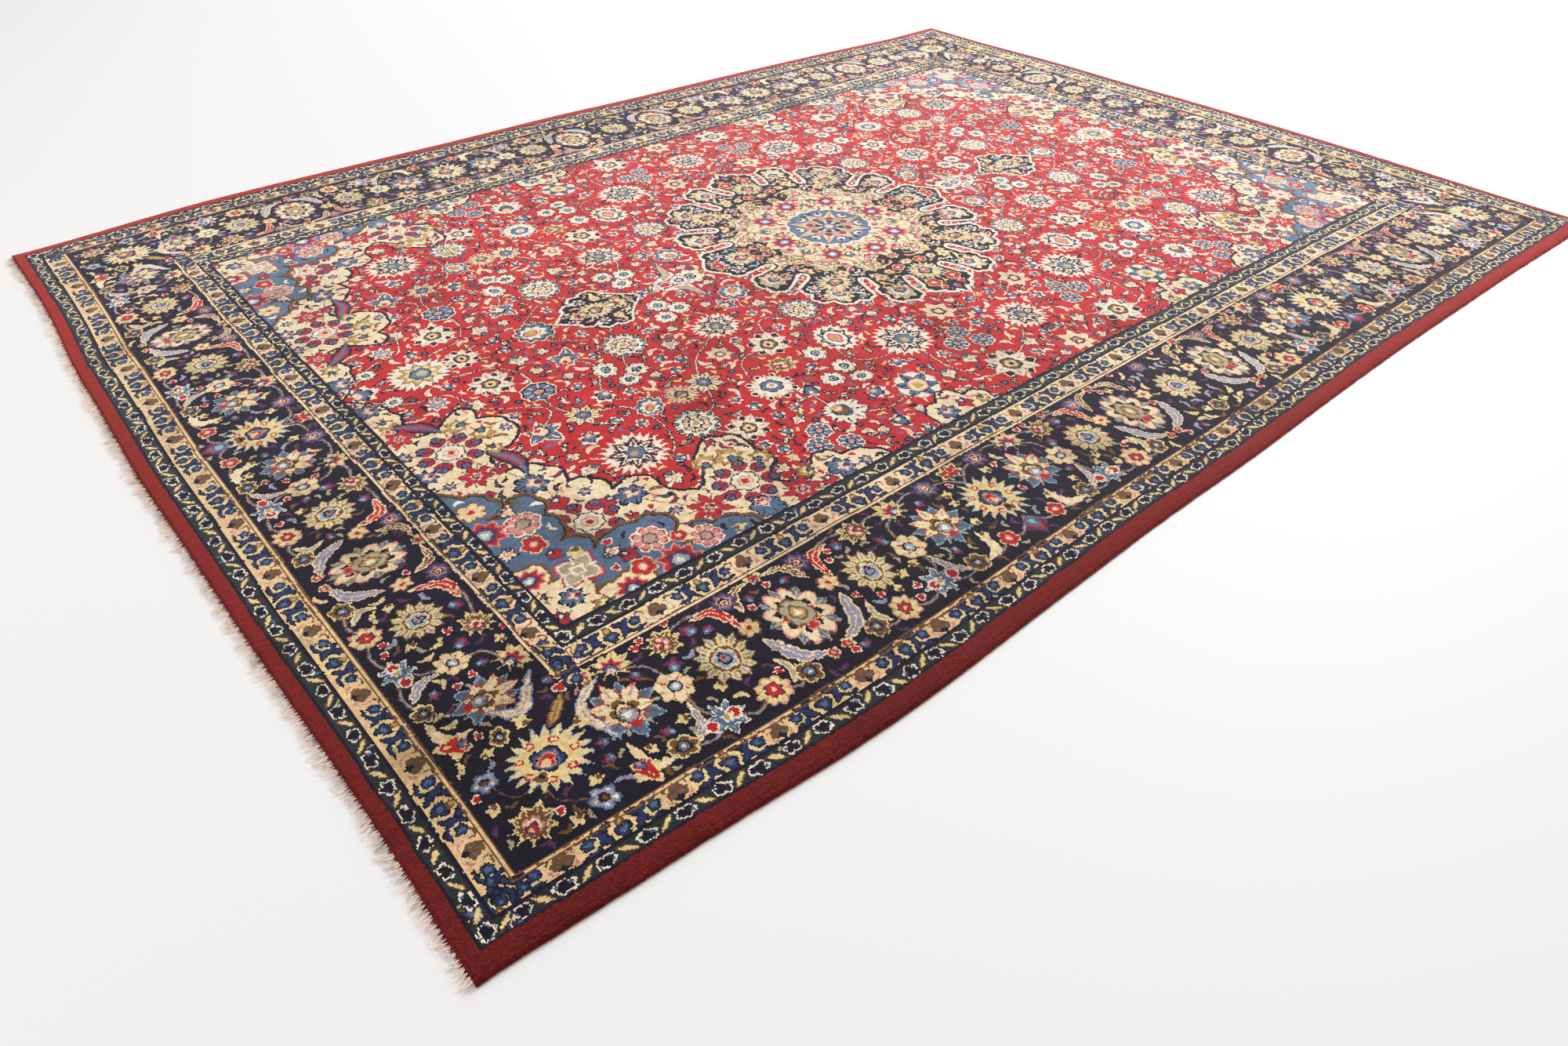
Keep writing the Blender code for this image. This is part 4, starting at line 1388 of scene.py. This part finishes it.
def yarn(name, colour, grain, roughness, sheen, bump, painted_light_scale=0.83):
    """A yarn's material. Colour is a hex value or the name of a colour attribute; grain is
    the size of its fine relief in mm, and bump how strongly that shows. The attribute nap
    is 1 where the wool is plain and brushed up, so that its tips fleck it, partly as uneven
    wool and partly as painted highlight and shade. The last argument scales the colour as a
    whole: under 1 it is painted shade, from the hairs shading each other, and over 1 it is
    painted light, for the light that cotton lets through."""
    material = bpy.data.materials.new(name)
    material.use_nodes = True
    tree = material.node_tree
    shader = tree.nodes["Principled BSDF"]
    place = add_node(tree, "ShaderNodeTexCoord").outputs["Object"]
    fine = add_node(tree, "ShaderNodeTexNoise",
                    {"Vector": place, "Scale": 1000 / grain, "Detail": 2.0})
    cloudy = add_node(tree, "ShaderNodeTexNoise",
                      {"Vector": place, "Scale": CLOUDS, "Detail": 3.0})
    stretched = add_node(tree, "ShaderNodeMapping",
                         {"Vector": place, "Scale": LOTS})
    banded = add_node(tree, "ShaderNodeTexNoise",
                      {"Vector": stretched.outputs[0], "Scale": 1.0, "Detail": 3.0})
    clumped = add_node(tree, "ShaderNodeTexNoise",
                       {"Vector": place, "Scale": 1000 / CLUMP, "Detail": 1.0})
    # Painted shade: patches where the pile leans another way and so looks darker.
    brushed = add_node(tree, "ShaderNodeTexNoise",
                       {"Vector": place, "Scale": LEANING_SHADE, "Detail": 4.0, "Roughness": 0.6})
    if colour.startswith("#"):
        base = add_node(tree, "ShaderNodeRGB").outputs[0]
        base.default_value = (*linear(colour), 1.0)
    else:
        base = add_node(tree, "ShaderNodeAttribute", attribute_name=colour).outputs["Color"]
    # The colour is first scaled as a whole: painted shade below 1, painted light above 1.
    value = painted_light_scale
    # Columns: a noise, the stretch of it that counts, and how dark and how light that makes
    # the yarn.
    for noise, start, end, low, high in (
        (fine, 0.3, 0.7, 0.80, 1.17),
        (clumped, 0.3, 0.7, 0.80, 1.17),
        (banded, 0.3, 0.7, 0.88, 1.12),
        (cloudy, 0.3, 0.7, 0.90, 1.10),
        # painted shade of the leaning pile
        (brushed, 0.34, 0.46, 0.66, 1.03),
    ):
        spread = add_node(tree, "ShaderNodeMapRange", {
            "Value": noise.outputs[0], "From Min": start, "From Max": end,
            "To Min": low, "To Max": high})
        value = add_node(tree, "ShaderNodeMath", {0: spread.outputs[0], 1: value},
                         operation="MULTIPLY").outputs[0]
    # Where nap is 1, the plain wool's tips are flecked darker and lighter: painted highlight and
    # shade on the tips, with some uneven wool in it.
    flecked = add_node(tree, "ShaderNodeTexNoise",
                       {"Vector": place, "Scale": 1000 / FLECK, "Detail": 3.0})
    tips = add_node(tree, "ShaderNodeMapRange", {
        "Value": flecked.outputs[0], "From Min": 0.36, "From Max": 0.64,
        "To Min": TIP_SHADE, "To Max": TIP_HIGHLIGHT})
    nap = add_node(tree, "ShaderNodeAttribute", attribute_name="nap").outputs["Fac"]
    fleck = add_node(tree, "ShaderNodeMix", {0: nap, 2: 1.0, 3: tips.outputs[0]})
    value = add_node(tree, "ShaderNodeMath", {0: fleck.outputs[0], 1: value},
                     operation="MULTIPLY").outputs[0]
    shaded = add_node(tree, "ShaderNodeVectorMath", {0: base, "Scale": value},
                      operation="SCALE")
    relief = add_node(tree, "ShaderNodeBump", {
        "Height": fine.outputs[0], "Strength": bump, "Distance": grain / 1000})
    tree.links.new(shaded.outputs[0], shader.inputs["Base Color"])
    tree.links.new(relief.outputs[0], shader.inputs["Normal"])
    shader.inputs["Roughness"].default_value = roughness
    shader.inputs["Sheen Weight"].default_value = sheen
    own = add_node(tree, "ShaderNodeGamma", {"Color": shaded.outputs[0], "Gamma": OWN_SHEEN})
    tint = add_node(tree, "ShaderNodeMix", {
        0: nap, MIX_A: own.outputs[0], MIX_B: (*linear(NAP_SHEEN), 1.0)}, data_type="RGBA")
    shader.inputs["Sheen Tint"].default_value = PLAIN_SHEEN
    tree.links.new(tint.outputs[MIX_RESULT], shader.inputs["Sheen Tint"])
    shader.inputs["Sheen Roughness"].default_value = 0.5
    shader.inputs["Specular IOR Level"].default_value = 0.1
    return material


def show(name, mesh, material, slot, *stands_for):
    """Put a finished mesh in the scene as a piece of the rug."""
    mesh.materials.append(material)
    piece = bpy.data.objects.new(name, mesh)
    bpy.context.scene.collection.objects.link(piece)
    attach(piece, "root")
    if stands_for:
        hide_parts(*stands_for)
    return piece


def stations(half):
    """Places from -half to half, close together at the rounded rim."""
    rim = [half, half - CROWN * 0.12, half - CROWN * 0.45, half - CROWN]
    inner = np.linspace(CROWN - half, half - CROWN, round(2 * half / GRID))
    return np.unique(np.round([*inner, *rim, *[-place for place in rim]], 6))


rows, columns = stations(END_X), stations(SIDE_Y)
cloth = bmesh.new()
bmesh.ops.create_grid(cloth, x_segments=len(rows) - 1, y_segments=len(columns) - 1, size=1.0)
for vertex in cloth.verts:
    x = rows[round((vertex.co.x + 1) / 2 * (len(rows) - 1))]
    y = columns[round((vertex.co.y + 1) / 2 * (len(columns) - 1))]
    vertex.co = laid(x, y, below_pile=PILE_DEPTH)
under = bmesh.ops.extrude_face_region(cloth, geom=cloth.faces[:], use_keep_orig=True)
for part in under["geom"]:
    if isinstance(part, bmesh.types.BMVert):
        part.co.z = float(between(np.array(part.co.x), np.array(part.co.y)))
bmesh.ops.recalc_face_normals(cloth, faces=cloth.faces)
cloth_mesh = bpy.data.meshes.new("foundation")
cloth.to_mesh(cloth_mesh)
cloth.free()
# Undyed cotton between the backs of the knots: flat, dull and mostly the knots' dark red.
back = yarn("cotton foundation and knot backs", "#5A2226", 2.0, 0.95, 0.1, 0.3)
foundation = show("foundation", cloth_mesh, back, "pile", "rug")

# ---------------------------------------------------------------------------------------
# The pile: the chart knotted in dyed wool, in six stretches from end to end. Knots of one
# colour that fill a rectangle are one face.
LONGEST = 24                          # knots along a face's side, so that it can ripple
RIM_KNOTS = 3                         # in the width of the crown, each cut for itself
UV_STRETCH = 1.3                      # lets the pile's half width fill its sheet of UV
# Hand-spun wool with its tips cut level: deep matt colour darkened by painted shade between
# the hairs, flecked in the plain parts with painted highlight and shade on the tips and some
# uneven wool, and with a pale bloom where light grazes it.
wool = yarn("hand-knotted wool pile", "dye", 3.0, 0.9, 1.0, 0.5)
dye_colours = np.array([(*linear(colour), 1.0) for colour in DYES.values()], np.float32)


def stops(count):
    """Rows or columns where every face is cut: now and then, and at the rounded rim."""
    places = np.arange(count + 1)
    return (places % LONGEST == 0) | (places >= count - RIM_KNOTS)


def rectangles(knots, first_row):
    """Cut part of the chart into rectangles of one colour: their four edges and colours."""
    row_stops = stops(len(chart))[first_row:first_row + len(knots) + 1].copy()
    row_stops[[0, -1]] = True
    ends = np.ones((len(knots) + 1, knots.shape[1]), bool)
    ends[1:-1] = knots[1:] != knots[:-1]
    ends[row_stops] = True
    column, top = np.nonzero(ends[:-1].T)
    bottom = np.nonzero(ends[1:].T)[1] + 1
    colour = knots[top, column]
    order = np.lexsort((column, colour, bottom, top))
    top, bottom, column, colour = (a[order] for a in (top, bottom, column, colour))
    joins = (top[1:] == top[:-1]) & (bottom[1:] == bottom[:-1]) & (colour[1:] == colour[:-1])
    joins &= (column[1:] == column[:-1] + 1) & ~stops(knots.shape[1])[column[1:]]
    first, last = np.flatnonzero([True, *~joins]), np.flatnonzero([*~joins, True])
    return top[first] + first_row, bottom[first] + first_row, column[first], \
        column[last] + 1, colour[first]


def knotted(name, way, first_row, last_row):
    """One stretch of pile, both halves of its width. Way is -1 for the left of the rug."""
    top, bottom, left, right, colour = rectangles(chart[first_row:last_row], first_row)
    across = chart.shape[1] + 1
    corners = np.stack([top * across + left, bottom * across + left,
                        bottom * across + right, top * across + right], axis=1)
    used, corners = np.unique(corners, return_inverse=True)
    corners = corners.reshape(-1, 4)
    out_x, out_y = used // across * KNOT / 1000, used % across * KNOT / 1000
    faces, points, layout = [], [], []
    for half in (-1, 1):
        turned = corners if way * half > 0 else corners[:, ::-1]
        faces.append(turned + len(used) * (half > 0))
        points.append(np.stack(laid(way * out_x, half * out_y), axis=1))
        share = (used // across - first_row) / (last_row - first_row)
        layout.append(np.stack([(share + (half > 0)) / 2, out_y / END_X * UV_STRETCH],
                               axis=1))
    faces, points, layout = np.vstack(faces), np.vstack(points), np.vstack(layout)
    mesh = bpy.data.meshes.new(name)
    mesh.vertices.add(len(points))
    mesh.vertices.foreach_set("co", points.ravel())
    mesh.loops.add(faces.size)
    mesh.loops.foreach_set("vertex_index", faces.ravel())
    mesh.polygons.add(len(faces))
    mesh.polygons.foreach_set("loop_start", np.arange(0, faces.size, 4))
    mesh.update(calc_edges=True)
    dye = mesh.attributes.new("dye", "FLOAT_COLOR", "FACE")
    dye.data.foreach_set("color", dye_colours[np.tile(colour, 2)].ravel())
    nap = mesh.attributes.new("nap", "FLOAT", "FACE")
    nap.data.foreach_set("value", np.tile(colour == DYE_NUMBER["wine"], 2).astype(np.float32))
    flat = mesh.uv_layers.new(name="OFBake")
    flat.data.foreach_set("uv", layout[faces.ravel()].ravel())
    return show(name, mesh, wool, "pile")


cuts = np.linspace(0, len(chart), 4).astype(int)     # three stretches to each half
for way, side in ((-1, "left"), (1, "right")):
    for place, first_row, last_row in zip(("middle", "field", "end"), cuts, cuts[1:]):
        knotted(f"pile_{side}_{place}", way, first_row, last_row)

# ---------------------------------------------------------------------------------------
# The selvedges: red wool overcast by hand round the outer warps of each long side, and
# through the edge of the rug, which holds them. The turns show as fine ribs, and the cord
# is thinner in some places than in others.
# Columns: out from the rug's edge, up from the floor.
CORD_SECTION = ((0.0, 0.0), (0.0, 0.0086), (0.003, 0.0087), (0.0062, 0.0080), (0.0090, 0.0063),
                (0.0110, 0.0038), (0.0108, 0.0014), (0.0078, 0.0))
CORD_PLACES = 800                     # along each side, 2.6 of them to a turn of wool
LUMPS = 320                           # places along a side with a thickness of their own
# How far a turn stands out, as a share, the radians of it from one place to the next, and
# how much thinner the cord is at its thinnest.
TURN_SWELL, TURN_STEP, THINNED = 0.03, 2.4, 0.10
# The same wool as the plain band's, wound in turns: matt, ribbed and a little fuzzy.
overcast = yarn("red wool overcasting", DYES["wine"], 3.0, 0.9, 1.0, 0.8)
for way, side in ((-1, "near"), (1, "far")):
    places = np.linspace(-END_X, END_X, CORD_PLACES)
    edge_x, edge_y, _ = laid(places, np.full(len(places), way * SIDE_Y))
    uneven = np.interp(places, np.linspace(-END_X, END_X, LUMPS), chance.uniform(0, 1, LUMPS))
    cord = bmesh.new()
    section = cord.faces.new([cord.verts.new((0.0, out, up)) for out, up in CORD_SECTION])
    for _ in places[1:]:
        section = bmesh.ops.extrude_discrete_faces(cord, faces=[section])["faces"][0]
        bmesh.ops.translate(cord, verts=section.verts[:], vec=(1.0, 0.0, 0.0))
    bmesh.ops.holes_fill(cord, edges=[e for e in cord.edges if e.is_boundary])
    for vertex in cord.verts:
        step, out, up = vertex.co
        here = round(step)
        swell = 1.0 + TURN_SWELL * math.sin(here * TURN_STEP) - THINNED * uneven[here]
        outer = (swell - 1.0) * out / CORD_WIDTH
        vertex.co = (edge_x[here], edge_y[here] + way * out * swell, up * (1.0 + outer))
    bmesh.ops.recalc_face_normals(cord, faces=cord.faces)
    cord_mesh = bpy.data.meshes.new(f"overcast_{side}")
    cord.to_mesh(cord_mesh)
    cord.free()
    cord_mesh.shade_smooth()
    cord_mesh.set_sharp_from_angle(angle=math.radians(70))
    nap = cord_mesh.attributes.new("nap", "FLOAT", "FACE")
    nap.data.foreach_set("value", np.ones(len(cord_mesh.polygons), np.float32))
    show(f"overcast_{side}", cord_mesh, overcast, "selvedge", f"selvedge_{side}")

# ---------------------------------------------------------------------------------------
# The fringes: a narrow web of white cotton under the last knots, and the warp ends beyond
# it, brushed into wavy locks that lie on the floor.
WEB_WIDTH, WEB_HEIGHT = 0.0025, 0.0020
WEB_PAST_SIDE = 0.010                 # it runs on behind the side cords
WARPS = 440                           # drawn; the real end has about four times as many
STRANDS_A_WARP = 4
STEPS = 6                             # places along a strand
THICKNESS, TAPER = 0.0007, 0.45       # half a strand's width, and how much of it the tip loses
LOCKS = 150                           # along an end, each with a bend of its own
ROOT_SCATTER, LOCK_SCATTER = 0.003, 0.25      # in metres, and as a share of a lock
# A strand's length, lean in radians and curl: first what most have, then how far its lock and
# the strand itself depart from that, and the least and the most there is.
LENGTH, LENGTH_BY_LOCK, LENGTH_OWN, LENGTH_RANGE = 0.024, 0.0035, 0.0025, (0.012, 0.034)
LEAN_BY_LOCK, LEAN_OWN, LEAN_RANGE = 0.75, 0.30, (-1.3, 1.3)
CURL, CURL_BY_LOCK, CURL_RANGE = 0.0030, 0.0012, (0.0008, 0.0050)
CURL_TURN = 5.5                       # radians from the root to the tip
TUCK = 0.0012                         # how far back in the web a strand starts
ROOT_HEIGHT, LYING_HEIGHT, ARCH = 0.0042, 0.0009, 0.0030      # over the floor
TUFTS = 700                           # drawn along each end
TUFT_ROOT, TUFT_LENGTH, TUFT_WIDTH = 0.006, 0.008, 0.0032
TUFT_HEIGHT, TUFT_FLATNESS, TUFT_DROP = 0.0058, 0.25, 0.0016
TUFT_TIP, TUFT_INSET = 0.0002, 0.012  # its half width, and how far from the sides tufts begin
# Cotton spun tight and then frayed by use: a warm white, raised by painted light so that it
# stays pale in its own shade.
cotton = yarn("unbleached cotton warps", "#FFE8DB", 1.5, 0.9, 1.0, 0.3, painted_light_scale=1.1)
for way, side in ((-1, "left"), (1, "right")):
    along = np.linspace(-SIDE_Y - WEB_PAST_SIDE, SIDE_Y + WEB_PAST_SIDE, 180)
    end_x, end_y_laid, _ = laid(np.full(len(along), way * END_X), along)
    web = bmesh.new()
    bmesh.ops.create_grid(web, x_segments=1, y_segments=len(along) - 1, size=1.0)
    bmesh.ops.solidify(web, geom=web.faces[:], thickness=1.0)
    for vertex in web.verts:
        here = round((vertex.co.y + 1) / 2 * (len(along) - 1))
        out = WEB_WIDTH if vertex.co.x > 0 else 0.0
        high = WEB_HEIGHT if vertex.co.z > -0.5 else 0.0
        vertex.co = (end_x[here] + way * out, end_y_laid[here], high)
    bmesh.ops.recalc_face_normals(web, faces=web.faces)
    web_mesh = bpy.data.meshes.new(f"web_{side}")
    web.to_mesh(web_mesh)
    web.free()
    show(f"web_{side}", web_mesh, cotton, "fringe", f"fringe_{side}")

    root = np.repeat(np.linspace(end_y_laid[0], end_y_laid[-1], WARPS), STRANDS_A_WARP)
    root += chance.uniform(-ROOT_SCATTER, ROOT_SCATTER, len(root))
    at = np.linspace(0, LOCKS - 1, len(root)) + chance.normal(0, LOCK_SCATTER, len(root))
    at = at.clip(0)
    locks = chance.normal(0, 1, (4, LOCKS))
    bend, wave, reach, turn = (np.interp(at, np.arange(LOCKS), lock)[:, None] for lock in locks)
    own = chance.normal(0, 1, (3, len(root), 1))
    t = np.linspace(0, 1, STEPS)[None, :]
    length = (LENGTH + LENGTH_BY_LOCK * reach + LENGTH_OWN * own[0]).clip(*LENGTH_RANGE)
    lean = (LEAN_BY_LOCK * bend + LEAN_OWN * own[1]).clip(*LEAN_RANGE)
    curl = (CURL + CURL_BY_LOCK * wave).clip(*CURL_RANGE)
    outward = -TUCK + length * t * np.cos(lean * t)
    sideways = (length * t * np.sin(lean * t)
                + curl * t * np.sin(CURL_TURN * t + 2 * turn + own[2] * 0.5))
    height = (ROOT_HEIGHT * (1 - t) ** 2 + LYING_HEIGHT
              + ARCH * t * (1 - t) * (1 + np.sin(own[2] * 3)))
    middle = np.stack([np.interp(root, end_y_laid, end_x)[:, None] + way * outward,
                       root[:, None] + sideways, height], axis=-1)
    around = math.tau / 3 * np.arange(3) + 0.5
    ring = np.stack([np.zeros(3), np.cos(around), np.sin(around)], axis=-1)
    thick = THICKNESS * (1 - TAPER * t)[..., None, None]
    points = middle[:, :, None, :] + ring * thick
    number = np.arange(points[..., 0].size).reshape(points.shape[:3])
    here, there = number[:, :-1], number[:, 1:]
    sides = np.stack([here, np.roll(here, -1, 2), np.roll(there, -1, 2), there], axis=-1)
    mesh = bpy.data.meshes.new(f"warp_ends_{side}")
    mesh.from_pydata(points.reshape(-1, 3), [], sides.reshape(-1, 4)[:, ::way].tolist())
    mesh.shade_smooth()
    show(f"warp_ends_{side}", mesh, cotton, "fringe")

    # The outermost knots, brushed out over the roots of the fringe.
    tufts = bmesh.new()
    for at_y in np.linspace(end_y_laid[0] + TUFT_INSET, end_y_laid[-1] - TUFT_INSET, TUFTS):
        long, wide, drop, bent = chance.uniform((0.2, 0.7, 0.2, -0.5), (1.0, 1.3, 1.0, 0.5))
        at_x = np.interp(at_y, end_y_laid, end_x) - way * TUFT_ROOT
        tuft = bmesh.ops.create_cone(
            tufts, segments=4, radius1=TUFT_WIDTH * wide, radius2=TUFT_TIP, depth=1.0,
            cap_ends=True, matrix=Matrix.Translation((0.0, 0.0, 0.5)))["verts"]
        for vertex in tuft:
            across, up, share = vertex.co
            vertex.co = (
                at_x + way * share * (TUFT_ROOT + TUFT_LENGTH * long),
                at_y + across + share * bent * TUFT_LENGTH,
                TUFT_HEIGHT + up * TUFT_FLATNESS - share * drop * TUFT_DROP)
    bmesh.ops.recalc_face_normals(tufts, faces=tufts.faces)
    tuft_mesh = bpy.data.meshes.new(f"brushed_end_{side}")
    tufts.to_mesh(tuft_mesh)
    tufts.free()
    nap = tuft_mesh.attributes.new("nap", "FLOAT", "FACE")
    nap.data.foreach_set("value", np.ones(len(tuft_mesh.polygons), np.float32))
    show(f"brushed_end_{side}", tuft_mesh, overcast, "pile")

# ---------------------------------------------------------------------------------------
# The studio: a pale floor in an even white surround, with broad soft lights at the far
# right, which graze the pile, and a weaker one on the left for the fringe.
FLOOR_REACH, FLOOR_DROP = 40.0, 0.0004        # a hair under the rug, so that faces don't meet
floor_mesh = bmesh.new()
bmesh.ops.create_grid(floor_mesh, x_segments=1, y_segments=1, size=FLOOR_REACH)
bmesh.ops.translate(floor_mesh, verts=floor_mesh.verts[:], vec=(0.0, 0.0, -FLOOR_DROP))
floor_data = bpy.data.meshes.new("floor")
floor_mesh.to_mesh(floor_data)
floor_mesh.free()
# Satin white paint: an even pale ground, with a faint lift in it under the far light.
paint = bpy.data.materials.new("pale floor")
paint.use_nodes = True
paint.node_tree.nodes["Principled BSDF"].inputs["Base Color"].default_value = (
    *linear("#F8F5F4"), 1.0)
paint.node_tree.nodes["Principled BSDF"].inputs["Roughness"].default_value = 0.45
floor_data.materials.append(paint)
floor = bpy.data.objects.new("floor", floor_data)
bpy.context.scene.collection.objects.link(floor)

world = bpy.data.worlds.new("white surround")
world.use_nodes = True
world.node_tree.nodes["Background"].inputs["Color"].default_value = (1.0, 0.99, 0.98, 1.0)
world.node_tree.nodes["Background"].inputs["Strength"].default_value = 0.46
bpy.context.scene.world = world
view = bpy.context.scene.view_settings
view.view_transform = "Standard"
view.use_curve_mapping = True         # a soft shoulder, as on film, so that cream keeps its tone
WHITE = 1.5                           # the light that is shown as white
view.curve_mapping.white_level = (WHITE, WHITE, WHITE)
for light_in, shown in ((0.25, 0.25), (0.5, 0.5), (0.9, 0.84)):
    view.curve_mapping.curves[3].points.new(light_in / WHITE, shown)
view.curve_mapping.update()

for name, place, size, watts in (
    ("far softbox", (4.5, 4.5, 3.2), 5.0, 450.0),
    ("right softbox", (5.5, 0.3, 3.2), 3.5, 470.0),
    ("left softbox", (-5.5, 0.5, 2.2), 4.0, 98.0),
):
    lamp = bpy.data.lights.new(name, "AREA")
    lamp.shape, lamp.size, lamp.energy = "DISK", size, watts
    light = bpy.data.objects.new(name, lamp)
    light.location = place
    light.rotation_euler = (-Vector(place)).to_track_quat("-Z", "Y").to_euler()
    bpy.context.scene.collection.objects.link(light)

# ---------------------------------------------------------------------------------------
# The camera stands beyond the near left corner, about 1.4 m up, and looks down along the
# rug's diagonal.
CAMERA_PLACE = Vector((-2.0698, -2.2021, 1.3569))
YAW, PITCH, ROLL = (math.radians(angle) for angle in (49.382, 39.491, 0.596))
LENS, SENSOR = 24.055, 36.0           # mm
lens = bpy.data.cameras.new("camera")
lens.lens, lens.sensor_width = LENS, SENSOR
lens.clip_start, lens.clip_end = 0.05, 200.0
camera = bpy.data.objects.new("camera", lens)
ahead = Vector((math.cos(PITCH) * math.cos(YAW), math.cos(PITCH) * math.sin(YAW),
                -math.sin(PITCH)))
right = ahead.cross(Vector((0, 0, 1))).normalized()
up = right.cross(ahead)
tilt = Matrix.Rotation(ROLL, 4, -ahead)
turned = Matrix((right, up, -ahead)).transposed().to_4x4()
camera.matrix_world = Matrix.Translation(CAMERA_PLACE) @ tilt @ turned
bpy.context.scene.collection.objects.link(camera)
bpy.context.scene.camera = camera
